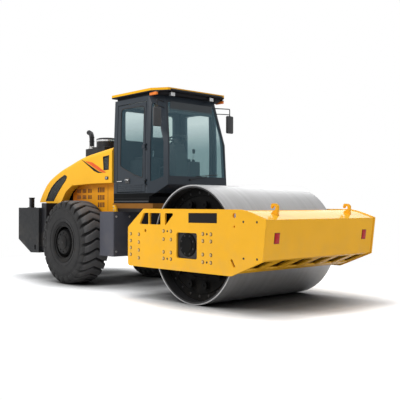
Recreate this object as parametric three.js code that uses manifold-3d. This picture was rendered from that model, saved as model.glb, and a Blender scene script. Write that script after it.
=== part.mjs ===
// Single-drum soil roller, articulated, with a steel cab and a tilting hood.
// Millimetres, +X forward, +Y to the left, +Z up, ground at Z = 0. Inside the model X = 0 is the
// drum axle; the last lines move it so that X = 0 is the middle of the overall length.

import * as THREE from 'three';
import { mergeVertices } from 'three/addons/utils/BufferGeometryUtils.js';
import { ConvexGeometry } from 'three/addons/geometries/ConvexGeometry.js';
import Module from 'manifold-3d';

const wasm = await Module();
wasm.setup();

// ---------------------------------------------------------------- driving dimensions

const fit = 0.3;                   // gap between pieces that touch
const bearingGap = 0.7;            // radial gap between a round pin and its bore
const runningGap = 8;              // between pieces that move past each other

const drumRadius = 840;
const drumWidth = 2170;
const drumShell = 40;              // thickness of the rolled shell
const drumRecess = 150;            // from the end of the shell to its head
const drumHeadThickness = 35;
const drumSideGap = 72;            // from the end of the drum to the side plate

const plateThickness = 30;         // side plate of the front frame
const plateRise = 500;             // its top edge above the drum axle
const plateDrop = 375;             // its bottom edge below the drum axle
const drumClearance = 120;         // from the drum to the crossbeam behind it
const beamClearance = 90;          // from the drum to the beam ahead of it
const beamLength = 645;            // from the front of the drum to the nose of the front beam
const beamWall = 20;

const frontReach = 1650;           // from the drum axle back to the steering pin
const tyreReach = 950;             // from the steering pin back to the front of the rear tyres
const hingeDrop = 40;              // hinge axis below the drum axle
const steeringPinRadius = 50;
const trunnionRadius = 110;
const yokeGap = 320;               // clear height between the yoke plates
const yokeThickness = 40;

const tyreRadius = 735;
const tyreWidth = 540;
const tyreOuter = 1187;            // half the width over the tyres
const rimRadius = 318;             // bead seat
const rimFlange = 352;
const hubRadius = 165;
const hubCoverRadius = 232;        // planetary hub in the middle of each rim
const hubCoverReach = 245;         // its end, from the middle of the tyre outwards

const tankHalfWidth = 950;
const tankBottom = 540;
const tankRise = 50;               // from the top of the chassis rails to the top of the tank housing
const tankSetback = 455;           // from the steering pin back to the face of the tank housing
const tankTyreGap = 90;

const railSpacing = 400;           // centre of each chassis rail from the middle
const railThickness = 30;
const railHeight = 360;
const railRise = 135;              // bottom of the rails above the rear axle
const axleTubeRadius = 120;

const counterweightGap = 256;      // from the tyre to the counterweight
const counterweightLength = 799;
const counterweightHalfWidth = 1100;
const counterweightRise = 55;      // from the top of the tank housing to that of the counterweight

const cabSetback = 735;            // from the steering pin back to the rear wall of the cab
const cabLength = 1315;
const cabHalfWidth = 750;
const platformHeight = 140;        // on top of the tank housing
const cabBaseHeight = 110;         // from the platform to the sill
const cabFloorThickness = 55;
const cabHeight = 1620;            // from the sill to the top of the walls
const cabWall = 45;
const cabCorner = 925;             // from the rear wall forward to the kink at the B-pillar
const roofHeight = 100;
const roofOverhang = 55;
const glassThickness = 6;
const glassSetback = 16;

const hoodHalfWidth = 780;
const hoodRise = 615;              // from the top of the wheel arch to the top of the hood at the cab
const hoodSkin = 20;
const hoodCorner = 95;             // radius along the upper edges
const archRise = 300;              // from the top of the tyre to the hood above it
const panelHalfWidth = 620;        // outer face of the louvred side panels
const panelThickness = 20;

// ---------------------------------------------------------------- places that follow

const drumHalf = drumWidth / 2;
const plateInner = drumHalf + drumSideGap;
const plateOuter = plateInner + plateThickness;
const beamReach = drumRadius + beamLength;
const plateTop = drumRadius + plateRise;
const plateBottom = drumRadius - plateDrop;
const pivotX = -frontReach;
const hingeZ = drumRadius - hingeDrop;
const axleX = pivotX - tyreReach - tyreRadius;
const axleZ = tyreRadius;
const tyreInner = tyreOuter - tyreWidth;
const tyreMiddle = (tyreOuter + tyreInner) / 2;
const crossbeamRear = pivotX + 290;
const crossbeamFront = -(drumRadius + drumClearance);
const plateRear = crossbeamRear - 13;
const tankFront = pivotX - tankSetback;
const tankRear = axleX + tyreRadius + tankTyreGap;
const railBottom = axleZ + railRise;
const railTop = railBottom + railHeight;
const tankTop = railTop + tankRise;
const counterweightTop = tankTop + counterweightRise;
const counterweightFront = axleX - tyreRadius - counterweightGap;
const counterweightRear = counterweightFront - counterweightLength;
const cabRear = pivotX - cabSetback;
const cabFront = cabRear + cabLength;
const cabKink = cabRear + cabCorner;
const cabBottom = tankTop + platformHeight;
const cabSill = cabBottom + cabBaseHeight;
const cabFloorTop = cabSill + cabFloorThickness;
const cabTop = cabSill + cabHeight;
const roofTop = cabTop + roofHeight;
const hoodFront = cabRear - 12;
const hoodRear = counterweightFront - 573;
const archTop = 2 * tyreRadius + archRise;
const hoodTop = archTop + hoodRise;

// ---------------------------------------------------------------- solids from three.js shapes

function solidOf(geometry) {
  geometry.deleteAttribute('normal');
  geometry.deleteAttribute('uv');
  const merged = mergeVertices(geometry, 1e-3);
  return new wasm.Manifold(new wasm.Mesh({
    numProp: 3,
    vertProperties: Float32Array.from(merged.attributes.position.array),
    triVerts: Uint32Array.from(merged.index.array),
  }));
}

function box(xFrom, xTo, yFrom, yTo, zFrom, zTo) {
  const geometry = new THREE.BoxGeometry(
    Math.abs(xTo - xFrom), Math.abs(yTo - yFrom), Math.abs(zTo - zFrom));
  geometry.translate((xFrom + xTo) / 2, (yFrom + yTo) / 2, (zFrom + zTo) / 2);
  return solidOf(geometry);
}

// A cylinder between two points on a line along one axis.
function rod(axis, radius, centre, from, to, sides = 32) {
  const geometry = new THREE.CylinderGeometry(radius, radius, Math.abs(to - from), sides);
  if (axis === 'x') geometry.rotateZ(Math.PI / 2);
  if (axis === 'z') geometry.rotateX(Math.PI / 2);
  const middle = (from + to) / 2;
  if (axis === 'x') geometry.translate(middle, centre[0], centre[1]);
  if (axis === 'y') geometry.translate(centre[0], middle, centre[1]);
  if (axis === 'z') geometry.translate(centre[0], centre[1], middle);
  return solidOf(geometry);
}

// Corners are [across, up] or [across, up, radius]; a radius rounds its corner.
function roundedShape(corners, steps = 3) {
  const outline = [];
  corners.forEach(([across, up, radius = 0], index) => {
    const corner = new THREE.Vector2(across, up);
    if (radius === 0) {
      outline.push(corner);
      return;
    }
    const last = corners.at(index - 1);
    const next = corners[(index + 1) % corners.length];
    const back = new THREE.Vector2(last[0], last[1]).sub(corner).normalize();
    const ahead = new THREE.Vector2(next[0], next[1]).sub(corner).normalize();
    const half = Math.acos(THREE.MathUtils.clamp(back.dot(ahead), -1, 1)) / 2;
    const start = corner.clone().addScaledVector(back, radius / Math.tan(half));
    const end = corner.clone().addScaledVector(ahead, radius / Math.tan(half));
    const middle = back.clone().add(ahead).normalize();
    const centre = corner.clone().addScaledVector(middle, radius / Math.sin(half));
    const from = start.clone().sub(centre).angle();
    let sweep = end.clone().sub(centre).angle() - from;
    if (sweep > Math.PI) sweep -= 2 * Math.PI;
    if (sweep < -Math.PI) sweep += 2 * Math.PI;
    for (let step = 0; step <= steps; step += 1) {
      const angle = from + (sweep * step) / steps;
      outline.push(new THREE.Vector2(
        centre.x + radius * Math.cos(angle), centre.y + radius * Math.sin(angle)));
    }
  });
  return new THREE.Shape(outline);
}

function extrusion(corners, depth) {
  return new THREE.ExtrudeGeometry(roundedShape(corners), { depth, bevelEnabled: false });
}

// A plate whose outline is drawn in X and Z, from one Y to another.
function lengthwise(corners, yFrom, yTo) {
  const geometry = extrusion(corners, Math.abs(yTo - yFrom));
  geometry.rotateX(Math.PI / 2);
  geometry.translate(0, Math.max(yFrom, yTo), 0);
  return solidOf(geometry);
}

// A plate whose outline is drawn in Y and Z, from one X to another.
function crosswise(corners, xFrom, xTo) {
  const geometry = extrusion(corners, Math.abs(xTo - xFrom));
  geometry.rotateX(Math.PI / 2);
  geometry.rotateZ(Math.PI / 2);
  geometry.translate(Math.min(xFrom, xTo), 0, 0);
  return solidOf(geometry);
}

// A plate whose outline is drawn in X and Y, from one Z to another.
function level(corners, zFrom, zTo) {
  const geometry = extrusion(corners, Math.abs(zTo - zFrom));
  geometry.translate(0, 0, Math.min(zFrom, zTo));
  return solidOf(geometry);
}

// A turned piece about a line along Y: the profile's points are [radius, y]. Its facets are set
// outside the true circle, so the lowest one lies flat at the stated radius.
function turned(profile, centreX, centreZ, facets = 48) {
  const spread = 1 / Math.cos(Math.PI / facets);
  const points = profile.map(([radius, y]) => new THREE.Vector2(radius * spread, y));
  if (points.at(-1).x !== 0) points.push(points[0].clone());
  const area = points.reduce((sum, point, index) => {
    const next = points[(index + 1) % points.length];
    return sum + point.x * next.y - next.x * point.y;
  }, 0);
  if (area < 0) points.reverse();
  const geometry = new THREE.LatheGeometry(points, facets, Math.PI / facets);
  geometry.translate(centreX, 0, centreZ);
  return solidOf(geometry);
}

function hull(points) {
  return solidOf(new ConvexGeometry(points));
}

function joined(...solids) {
  return solids.reduce((all, next) => all.add(next));
}

function cut(solid, ...tools) {
  return tools.reduce((rest, tool) => rest.subtract(tool), solid);
}

// Moves every edge of an outline inwards by the same distance.
function insetOutline(corners, distance) {
  const count = corners.length;
  const turn = corners.reduce((sum, [x, y], index) => {
    const [nextX, nextY] = corners[(index + 1) % count];
    return sum + x * nextY - nextX * y;
  }, 0) > 0 ? 1 : -1;
  return corners.map(([x, y, radius], index) => {
    const before = corners.at(index - 1);
    const after = corners[(index + 1) % count];
    const inward = new THREE.Vector2(x - before[0], y - before[1]).normalize();
    const outward = new THREE.Vector2(after[0] - x, after[1] - y).normalize();
    const normalIn = new THREE.Vector2(-inward.y, inward.x).multiplyScalar(turn);
    const normalOut = new THREE.Vector2(-outward.y, outward.x).multiplyScalar(turn);
    const middle = normalIn.clone().add(normalOut).normalize();
    const reach = distance / middle.dot(normalIn);
    const corner = [x + middle.x * reach, y + middle.y * reach];
    return radius === undefined ? corner : [...corner, radius];
  });
}

// ---------------------------------------------------------------- materials

function paint(color, roughness, metalness = 0) {
  return new THREE.MeshStandardMaterial({ color, roughness, metalness });
}

const yellow = paint('#f5b02a', 0.4);
const darkGrey = paint('#4b4d52', 0.6);
const charcoal = paint('#3a3a42', 0.5);
const black = paint('#17171a', 0.6);
const rubber = paint('#2e2d2e', 0.9);
const drumSteel = paint('#a3a3a4', 0.35, 0.9);
const chrome = paint('#c9ccd0', 0.15, 1);
const glass = paint('#9fb3ac', 0.05);
const fabric = paint('#26272b', 0.95);
const plastic = paint('#2b2d30', 0.7);

const model = new THREE.Group();

function node(name, solid, material) {
  const { vertProperties, triVerts } = solid.getMesh();
  const geometry = new THREE.BufferGeometry();
  geometry.setAttribute('position', new THREE.BufferAttribute(vertProperties, 3));
  geometry.setIndex(new THREE.BufferAttribute(triVerts, 1));
  geometry.computeVertexNormals();
  const mesh = new THREE.Mesh(geometry, material);
  mesh.name = name;
  model.add(mesh);
}

const sides = [['right', -1], ['left', 1]];

// ---------------------------------------------------------------- drum

const drumPin = 75;                // radius of the drum's stub axle
const drumFacets = 72;
const carrierHubEnd = drumHalf - drumRecess + 12;

function addDrum() {
  const inner = drumRadius - drumShell;
  node('drum_shell', turned([
    [inner, -drumHalf], [drumRadius, -drumHalf], [drumRadius, drumHalf], [inner, drumHalf],
  ], 0, drumRadius, drumFacets), drumSteel);
  const face = drumHalf - drumRecess;
  for (const [name, side] of sides) {
    const disc = turned([
      [0, side * (face - drumHeadThickness)],
      [inner - fit, side * (face - drumHeadThickness)],
      [inner - fit, side * face],
      [0, side * face],
    ], 0, drumRadius, drumFacets);
    const stub = rod('y', drumPin, [0, drumRadius], side * (face - 5), side * (plateInner - 30), 32);
    node(`drum_head_${name}`, joined(disc, stub), black);
  }
}

// ---------------------------------------------------------------- front frame

// Side plate outline, clockwise from the rear end of its top edge.
const plateOutline = [
  [-983, plateTop, 30],
  [beamReach - 446, plateTop],
  [beamReach - 362, plateTop - 10],
  [beamReach - 268, plateTop - 31],
  [beamReach - 181, plateTop - 57],
  [beamReach - 95, plateTop - 83],
  [beamReach, plateTop - 118, 15],
  [beamReach - 63, drumRadius - 145],
  [875, plateBottom + 10, 60],
  [plateRear, plateBottom, 45],
  [plateRear, plateTop - 282, 40],
];

const rearWindow = [
  [-975, plateTop - 62, 18], [-268, plateTop - 62, 18],
  [-452, plateTop - 229, 18], [-1087, plateTop - 233, 18],
];
const rearWindowPosts = [[-862, -836], [-577, -474]];
const motorWindow = { half: 215, bottom: drumRadius - 190, top: drumRadius + 170 };
const plateHoles = [
  { x: 936, z: plateTop - 79, radius: 33 },
  { x: 932, z: plateTop - 220, radius: 14 },
  { x: -935, z: plateTop - 327, radius: 24 },
];

function addSidePlates() {
  for (const [name, side] of sides) {
    const from = side * plateInner;
    const to = side * plateOuter;
    const over = side * 5;
    let window = lengthwise(rearWindow, from - over, to + over);
    for (const [back, ahead] of rearWindowPosts) {
      window = cut(window, box(back, ahead, from - 2 * over, to + 2 * over, plateTop - 300, plateTop));
    }
    const { half, bottom, top } = motorWindow;
    const square = lengthwise([
      [-half, bottom, 30], [half, bottom, 30], [half, top, 30], [-half, top, 30],
    ], from - over, to + over);
    const holes = plateHoles.map(({ x, z, radius }) => rod('y', radius, [x, z], from - over, to + over, 20));
    const slot = lengthwise([
      [862, drumRadius - 152], [892, drumRadius - 140], [953, drumRadius - 236], [923, drumRadius - 248],
    ], from - over, to + over);
    node(`side_plate_${name}`,
      cut(lengthwise(plateOutline, from, to), window, square, slot, ...holes), yellow);
  }
}

const beamRear = drumRadius + beamClearance;
const beamOutline = [
  [beamRear, plateTop - 12],
  [beamReach - 446, plateTop - 12],
  [beamReach - 362, plateTop - 22],
  [beamReach - 268, plateTop - 43],
  [beamReach - 181, plateTop - 69],
  [beamReach - 95, plateTop - 95],
  [beamReach - 12, plateTop - 124],
  [beamReach - 74, drumRadius - 133],
  [beamRear, plateBottom + 42],
];
const beamRibs = [-800, -400, 0, 400, 800];
const ribThickness = 20;

function addFrontBeam() {
  const end = plateInner - fit;
  let inside = lengthwise(insetOutline(beamOutline, beamWall), -end - 10, end + 10);
  for (const y of beamRibs) {
    inside = cut(inside, box(beamRear, beamReach, y - ribThickness / 2, y + ribThickness / 2, 0, plateTop));
  }
  let beam = cut(lengthwise(beamOutline, -end, end), inside);
  // Lightening windows in the sloping lower plate, one to each bay.
  const edges = [-end, ...beamRibs, end];
  for (let bay = 0; bay < edges.length - 1; bay += 1) {
    const windowFrom = edges[bay] + 70;
    const windowTo = edges[bay + 1] - 70;
    beam = cut(beam, box(beamRear + 110, beamReach - 130, windowFrom, windowTo,
      plateBottom - 20, drumRadius - 120));
  }
  node('front_beam', beam, yellow);
}

const trunnionBoss = 170;          // radius of the bearing tube round the trunnion
const crossbeamWall = 30;

function addCrossbeam() {
  const end = plateInner - fit;
  const outline = [
    [crossbeamFront, plateBottom + 25], [crossbeamFront, drumRadius + 215],
    [crossbeamRear + 60, drumRadius + 215], [crossbeamRear, drumRadius + 165],
    [crossbeamRear, plateBottom + 25],
  ];
  const inside = lengthwise(insetOutline(outline, crossbeamWall), -end - 10, end + 10);
  const shell = cut(lengthwise(outline, -end, end), inside);
  const bearing = rod('x', trunnionBoss, [0, hingeZ], crossbeamRear - 20, crossbeamFront - 10, 32);
  const bore = rod('x', trunnionRadius + bearingGap, [0, hingeZ], crossbeamRear - 40,
    crossbeamFront - 30, 32);
  node('rear_crossbeam', cut(joined(shell, bearing), bore), darkGrey);
}

const carrierHubRadius = 190;
const carrierFlange = 25;

function addDrumCarriers() {
  for (const [name, side] of sides) {
    const outerFace = side * (plateInner - fit);
    const flange = lengthwise([
      [-530, drumRadius - 240, 60], [530, drumRadius - 240, 60],
      [530, drumRadius + 220, 60], [-530, drumRadius + 220, 60],
    ], outerFace - side * carrierFlange, outerFace);
    const hub = rod('y', carrierHubRadius, [0, drumRadius], side * carrierHubEnd,
      outerFace - side * carrierFlange / 2, 32);
    const bore = rod('y', drumPin + bearingGap, [0, drumRadius], side * (carrierHubEnd - 10),
      side * (plateInner - 28), 32);
    node(`drum_carrier_${name}`, cut(joined(flange, hub), bore), black);
  }
}

// Scraper bar across the drum on two arms.
function addScrapers() {
  const reach = drumRadius + 14;
  const height = drumRadius - 120;
  const rearAngle = Math.asin((height - drumRadius) / reach);
  const bladeX = reach * Math.cos(rearAngle);
  const end = drumHalf - 20;
  const rearArms = [-700, 700].map((y) => box(
    crossbeamFront + fit, -(bladeX + 30), y - 40, y + 40, height - 30, height + 30));
  const rearBlade = box(-(bladeX + 40), -bladeX, -end, end, height - 60, height + 60);
  node('drum_scraper_rear', joined(rearBlade, ...rearArms), darkGrey);
  const frontArms = [-700, 700].map((y) => box(
    bladeX + 30, beamRear - fit, y - 40, y + 40, height - 30, height + 30));
  const frontBlade = box(bladeX, bladeX + 40, -end, end, height - 60, height + 60);
  node('drum_scraper_front', joined(frontBlade, ...frontArms), darkGrey);
}

// Lifting hook: a flat eye plate with a hooked upper end, standing on the front beam.
function addLiftingHooks() {
  const hookX = beamReach - 215;
  const foot = plateTop - 50;
  const topZ = plateTop + 80;
  for (const [name, side] of sides) {
    const y = side * 784;
    const plate = lengthwise([
      [hookX - 55, foot - 25, 10], [hookX + 55, foot - 55, 10], [hookX + 62, topZ - 30, 30],
      [hookX + 20, topZ, 22], [hookX - 48, topZ, 22], [hookX - 62, topZ - 60, 14],
      [hookX - 40, topZ - 66, 6], [hookX - 20, topZ - 34, 12], [hookX + 20, topZ - 40, 12],
      [hookX + 18, topZ - 78, 12], [hookX - 42, foot + 20, 12],
    ], y - 16, y + 16);
    const seat = lengthwise(beamOutline.map(([x, z]) => [x, z + fit]), y - 40, y + 40);
    node(`lifting_hook_${name}`, cut(plate, seat), yellow);
  }
}

// ---------------------------------------------------------------- centre hinge and steering

const hingeHalf = 130;             // half width of the hinge block
const blockHalfHeight = yokeGap / 2 - 5;
const cylinderPin = 20;
const cylinderEye = 42;
const eyeHalfHeight = 29;
const lugRadius = 50;
const lugGap = 66;                 // clear height between the lugs at a cylinder's eye
const lugThickness = 22;
const barrelRadius = 48;
const barrelStart = lugRadius + runningGap;
const barrelEnd = 322;             // from the base eye
const rodRadius = 26;
const rodInside = 310;             // from the rod's eye back to its end inside the barrel
const baseEye = { x: tankFront + 85, y: 400 };
const rodEye = { x: pivotX + 85, y: hingeHalf + 65 };

// Two lugs at a cylinder's eye, on webs that reach a face of the frame. The pin goes through where
// the eye stays centred on it, and shows only as two heads where the eye may drift.
function forkLugs(eye, side, web, pinThrough) {
  const at = [eye.x, side * eye.y];
  const pieces = [-1, 1].map((up) => {
    const inner = hingeZ + up * lugGap / 2;
    const outer = inner + up * lugThickness;
    return joined(
      rod('z', lugRadius, at, inner, outer, 16),
      box(web.xFrom, web.xTo, side * web.yFrom, side * web.yTo, inner, outer),
      rod('z', cylinderPin, at, pinThrough ? hingeZ : outer - up * 5, outer + up * 8, 16));
  });
  return joined(...pieces);
}

function addHingeBlock() {
  const body = level([
    [pivotX - 95, -hingeHalf + 40, 30], [pivotX + 140, -hingeHalf, 20],
    [pivotX + 140, hingeHalf, 20], [pivotX - 95, hingeHalf - 40, 30],
  ], hingeZ - blockHalfHeight, hingeZ + blockHalfHeight);
  const bore = rod('z', steeringPinRadius + bearingGap, [pivotX, 0], hingeZ - yokeGap, hingeZ + yokeGap, 24);
  const trunnion = rod('x', trunnionRadius, [0, hingeZ], pivotX + 120, crossbeamFront - 35, 32);
  const ears = sides.map(([, side]) => forkLugs(rodEye, side, {
    xFrom: rodEye.x - lugRadius, xTo: rodEye.x + lugRadius, yFrom: hingeHalf - 30, yTo: rodEye.y,
  }, false));
  node('articulation_block', joined(cut(body, bore), trunnion, ...ears), darkGrey);
}

// Turns a solid drawn along +X from a cylinder's base eye to lie between the two eyes.
function alongCylinder(solid, side) {
  const { vertProperties, triVerts } = solid.getMesh();
  const geometry = new THREE.BufferGeometry();
  geometry.setAttribute('position', new THREE.BufferAttribute(vertProperties, 3));
  geometry.setIndex(new THREE.BufferAttribute(triVerts, 1));
  geometry.rotateZ(Math.atan2(side * (rodEye.y - baseEye.y), rodEye.x - baseEye.x));
  geometry.translate(baseEye.x, side * baseEye.y, hingeZ);
  return solidOf(geometry);
}

function addSteeringCylinders() {
  const length = Math.hypot(rodEye.x - baseEye.x, rodEye.y - baseEye.y);
  const eyeAt = (x) => rod('z', cylinderEye, [x, 0], -eyeHalfHeight, eyeHalfHeight, 16);
  for (const [name, side] of sides) {
    const barrel = cut(
      joined(rod('x', barrelRadius, [0, 0], barrelStart, barrelEnd, 24),
        rod('x', eyeHalfHeight - 3, [0, 0], 20, barrelStart + 10, 16), eyeAt(0)),
      rod('z', cylinderPin + bearingGap, [0, 0], -barrelRadius, barrelRadius, 16),
      rod('x', rodRadius + bearingGap, [0, 0], barrelStart + 4, barrelEnd + 10, 20));
    node(`steering_barrel_${name}`, alongCylinder(barrel, side), black);
    const piston = joined(rod('x', rodRadius, [0, 0], length - rodInside, length - 30, 20), eyeAt(length));
    node(`steering_rod_${name}`, alongCylinder(piston, side), chrome);
  }
}

// ---------------------------------------------------------------- rear chassis

const crossMembers = [tankRear - 300, axleX - 420, axleX - 720];
const engineBottom = railBottom + 130;
const axlePadHalf = 90;

function addChassis() {
  const railEnd = counterweightFront + fit;
  const rails = sides.map(([, side]) => box(
    railEnd, tankRear - fit, side * (railSpacing - railThickness / 2),
    side * (railSpacing + railThickness / 2), railBottom, railTop));
  const members = crossMembers.map((x) => box(
    x - 50, x + 50, -railSpacing, railSpacing, engineBottom - 60, engineBottom - fit));
  node('rear_chassis', joined(...rails, ...members), darkGrey);

  // Hinge yoke: two plates on the face of the tank housing, with the steering pin through them.
  const yokeOutline = [
    [tankFront + fit, -420], [pivotX - 20, -110, 60], [pivotX + 100, -80, 60],
    [pivotX + 100, 80, 60], [pivotX - 20, 110, 60], [tankFront + fit, 420],
  ];
  const plates = [-1, 1].map((up) => level(yokeOutline,
    hingeZ + up * yokeGap / 2, hingeZ + up * (yokeGap / 2 + yokeThickness)));
  const foot = box(tankFront + fit, tankFront + 30, -560, 560,
    hingeZ - yokeGap / 2 - yokeThickness, hingeZ + yokeGap / 2 + yokeThickness);
  const pin = rod('z', steeringPinRadius, [pivotX, 0], hingeZ - yokeGap / 2 - yokeThickness - 15,
    hingeZ + yokeGap / 2 + yokeThickness + 15, 24);
  const lugs = sides.map(([, side]) => forkLugs(baseEye, side, {
    xFrom: tankFront + 10, xTo: baseEye.x, yFrom: baseEye.y - lugRadius, yTo: baseEye.y + lugRadius,
  }, true));
  node('hinge_yoke', joined(foot, ...plates, pin, ...lugs), darkGrey);
}

function addTankHousing() {
  const outline = [
    [tankFront, -tankHalfWidth, 25], [tankFront, tankHalfWidth, 25],
    [tankRear, tankHalfWidth, 10], [tankRear, -tankHalfWidth, 10],
  ];
  node('tank_housing', level(outline, tankBottom, tankTop), darkGrey);
}

function addRearAxle() {
  const discFace = tyreMiddle - 60;
  const half = discFace - fit;
  const tube = rod('y', axleTubeRadius, [axleX, axleZ], -half, half, 20);
  const differential = turned([
    [0, -230], [110, -230], [225, -110], [225, 110], [110, 230], [0, 230],
  ], axleX, axleZ, 20);
  const flanges = sides.map(([, side]) => rod('y', hubRadius, [axleX, axleZ],
    side * (half - 40), side * half, 20));
  const pads = sides.map(([, side]) => box(axleX - 110, axleX + 110,
    side * (railSpacing - axlePadHalf), side * (railSpacing + axlePadHalf), axleZ, railBottom - fit));
  node('rear_axle', joined(tube, differential, ...flanges, ...pads), darkGrey);
}

function addWheels() {
  const shoulder = 60;
  const bead = 62;
  const wheelFacets = 36;
  for (const [name, side] of sides) {
    const at = (offset) => side * (tyreMiddle + offset);
    const half = tyreWidth / 2;
    node(`tyre_${name}`, turned([
      [rimRadius + fit, at(-half + bead)], [rimFlange + 40, at(-half + 14)],
      [tyreRadius - 210, at(-half)], [tyreRadius - 90, at(-half + 6)],
      [tyreRadius - 12, at(-half + shoulder)], [tyreRadius, at(-half + 130)],
      [tyreRadius, at(half - 130)], [tyreRadius - 12, at(half - shoulder)],
      [tyreRadius - 90, at(half - 6)], [tyreRadius - 210, at(half)],
      [rimFlange + 40, at(half - 14)], [rimRadius + fit, at(half - bead)],
    ], axleX, axleZ, wheelFacets), rubber);
    const barrel = turned([
      [rimRadius - 20, at(-half + 22)], [rimFlange, at(-half + 18)], [rimFlange, at(-half + 34)],
      [rimRadius, at(-half + bead)], [rimRadius, at(half - bead)],
      [rimFlange, at(half - 34)], [rimFlange, at(half - 18)], [rimRadius - 20, at(half - 22)],
    ], axleX, axleZ, wheelFacets);
    const disc = turned([
      [0, at(-60)], [rimRadius - 10, at(-60)], [rimRadius - 10, at(-20)], [hubCoverRadius + 10, at(0)],
      [hubCoverRadius, at(15)], [hubCoverRadius - 4, at(hubCoverReach - 45)],
      [hubCoverRadius - 27, at(hubCoverReach - 5)], [hubCoverRadius - 40, at(hubCoverReach)],
      [0, at(hubCoverReach)],
    ], axleX, axleZ, wheelFacets);
    node(`wheel_rim_${name}`, joined(barrel, disc), black);
  }
}

// The hood turns on two short pins held by brackets that stand on the counterweight.
const hoodHingeX = counterweightFront - 504;
const hoodHingeZ = counterweightTop + 80;
const hoodPinRadius = 16;
const hoodEyeRadius = 34;
const hoodEarY = 500;
const hoodEarThickness = 20;

function addCounterweight() {
  const outline = [
    [counterweightRear, counterweightTop, 12], [counterweightFront, counterweightTop],
    [counterweightFront, tankBottom - 46], [counterweightRear + 496, tankBottom - 56, 20],
    [counterweightRear, tankBottom + 183, 12],
  ];
  const holeX = counterweightFront - 135;
  const hole = box(holeX - 25, holeX + 25, -counterweightHalfWidth - 5, counterweightHalfWidth + 5,
    tankBottom + 6, tankBottom + 96);
  const brackets = sides.map(([, side]) => {
    const face = side * (hoodEarY + hoodEarThickness + runningGap);
    const plate = lengthwise([
      [hoodHingeX - 40, counterweightTop - 5], [hoodHingeX + 90, counterweightTop - 5],
      [hoodHingeX + 25, hoodHingeZ + 22, 20], [hoodHingeX - 25, hoodHingeZ + 22, 20],
    ], face, face + side * hoodEarThickness);
    const pin = rod('y', hoodPinRadius, [hoodHingeX, hoodHingeZ], side * (hoodEarY - 8), face + side * 5, 20);
    return joined(plate, pin);
  });
  node('counterweight', joined(
    cut(lengthwise(outline, -counterweightHalfWidth, counterweightHalfWidth), hole), ...brackets), darkGrey);
}

function addEngineAndCooling() {
  const engineFront = axleX + 420;
  const engineRear = axleX - 760;
  node('engine', box(engineRear, engineFront, -340, 340, engineBottom, engineBottom + 700), darkGrey);
  const radiatorFront = counterweightFront + 175;
  const radiatorHalf = 1040;
  const notch = sides.map(([, side]) => box(counterweightFront - 5, radiatorFront + 5,
    side * (railSpacing - railThickness / 2 - 3), side * (railSpacing + railThickness / 2 + 3),
    railBottom - 3, railTop + 3));
  const shoulders = sides.map(([, side]) => box(counterweightFront + fit, radiatorFront,
    side * (hoodHalfWidth + 20), side * radiatorHalf, tankBottom + 10, counterweightTop + 90));
  node('radiator_housing', cut(joined(box(counterweightFront + fit, radiatorFront, -radiatorHalf,
    radiatorHalf, tankBottom, counterweightTop - 15), ...shoulders), ...notch), black);
}

// ---------------------------------------------------------------- hood and side panels

// Top line of the hood from the cab rearwards: distance behind the hood's front, drop from its top.
const hoodLine = [
  [0, 0], [900, 118], [1395, 245], [1754, 349], [2130, 510], [2324, 671], [2463, 846], [2503, 944],
  [2503, 1050],
];
const hoodLength = hoodFront - hoodRear;
const hoodScale = hoodLength / 2502;

function hoodBody(inset, bottom) {
  const points = [];
  hoodLine.forEach(([behind, drop], index) => {
    let x = hoodFront - behind * hoodScale;
    if (index === 0) x -= inset;
    if (index >= 4) x += inset;
    const z = hoodTop - drop - inset;
    const half = hoodHalfWidth - inset;
    const radius = hoodCorner - inset / 2;
    for (const side of [-1, 1]) {
      for (let step = 0; step <= 3; step += 1) {
        const angle = (step / 3) * (Math.PI / 2);
        points.push(new THREE.Vector3(x, side * (half - radius + radius * Math.cos(angle)),
          z - radius + radius * Math.sin(angle)));
      }
      points.push(new THREE.Vector3(x, side * half, bottom));
    }
  });
  return hull(points);
}

const hoodFloor = counterweightTop + 105;   // lower edge of the hood behind the arch
const legBottom = counterweightTop - 2;

function archOutline(offset) {
  const legFront = axleX - 878;
  const legRear = legFront - 341;
  return [
    [hoodFront + 200, archTop + offset], [axleX + 295, archTop + offset],
    [axleX - 340, archTop - 21 + offset], [axleX - 551 - offset * 0.7, archTop - 128 + offset * 0.7],
    [axleX - 731 - offset, archTop - 332 + offset * 0.4], [legFront - offset * 0.3, legBottom + 8 + offset],
    [legRear, legBottom + 8 + offset], [legRear - 66, hoodFloor + offset],
    [hoodRear - 300, hoodFloor + offset], [hoodRear - 300, tankBottom], [hoodFront + 200, tankBottom],
  ];
}

function addHood() {
  const wide = hoodHalfWidth + 50;
  const outer = hoodBody(0, tankBottom + 50);
  const arch = lengthwise(archOutline(0), -wide, wide);
  const soffit = cut(lengthwise(archOutline(hoodSkin), -wide, wide),
    box(hoodRear - 400, hoodFront + 400, -panelHalfWidth - runningGap, panelHalfWidth + runningGap, 0, 3000));
  const inner = cut(hoodBody(hoodSkin, tankBottom), soffit);
  const ears = sides.map(([, side]) => {
    const from = side * hoodEarY;
    const to = side * (hoodEarY + hoodEarThickness);
    const web = lengthwise([
      [hoodRear + 8, hoodFloor + 3], [hoodHingeX - 20, hoodHingeZ - 25], [hoodHingeX + 30, hoodHingeZ + 12],
      [hoodHingeX + 10, hoodFloor + 90], [hoodRear + 15, hoodFloor + 70],
    ], from, to);
    const eye = rod('y', hoodEyeRadius, [hoodHingeX, hoodHingeZ], from, to, 24);
    const bore = rod('y', hoodPinRadius + bearingGap, [hoodHingeX, hoodHingeZ], from - side, to + side, 20);
    return cut(joined(web, eye), bore);
  });
  node('hood', joined(cut(outer, arch, inner), ...ears), yellow);
}

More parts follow.
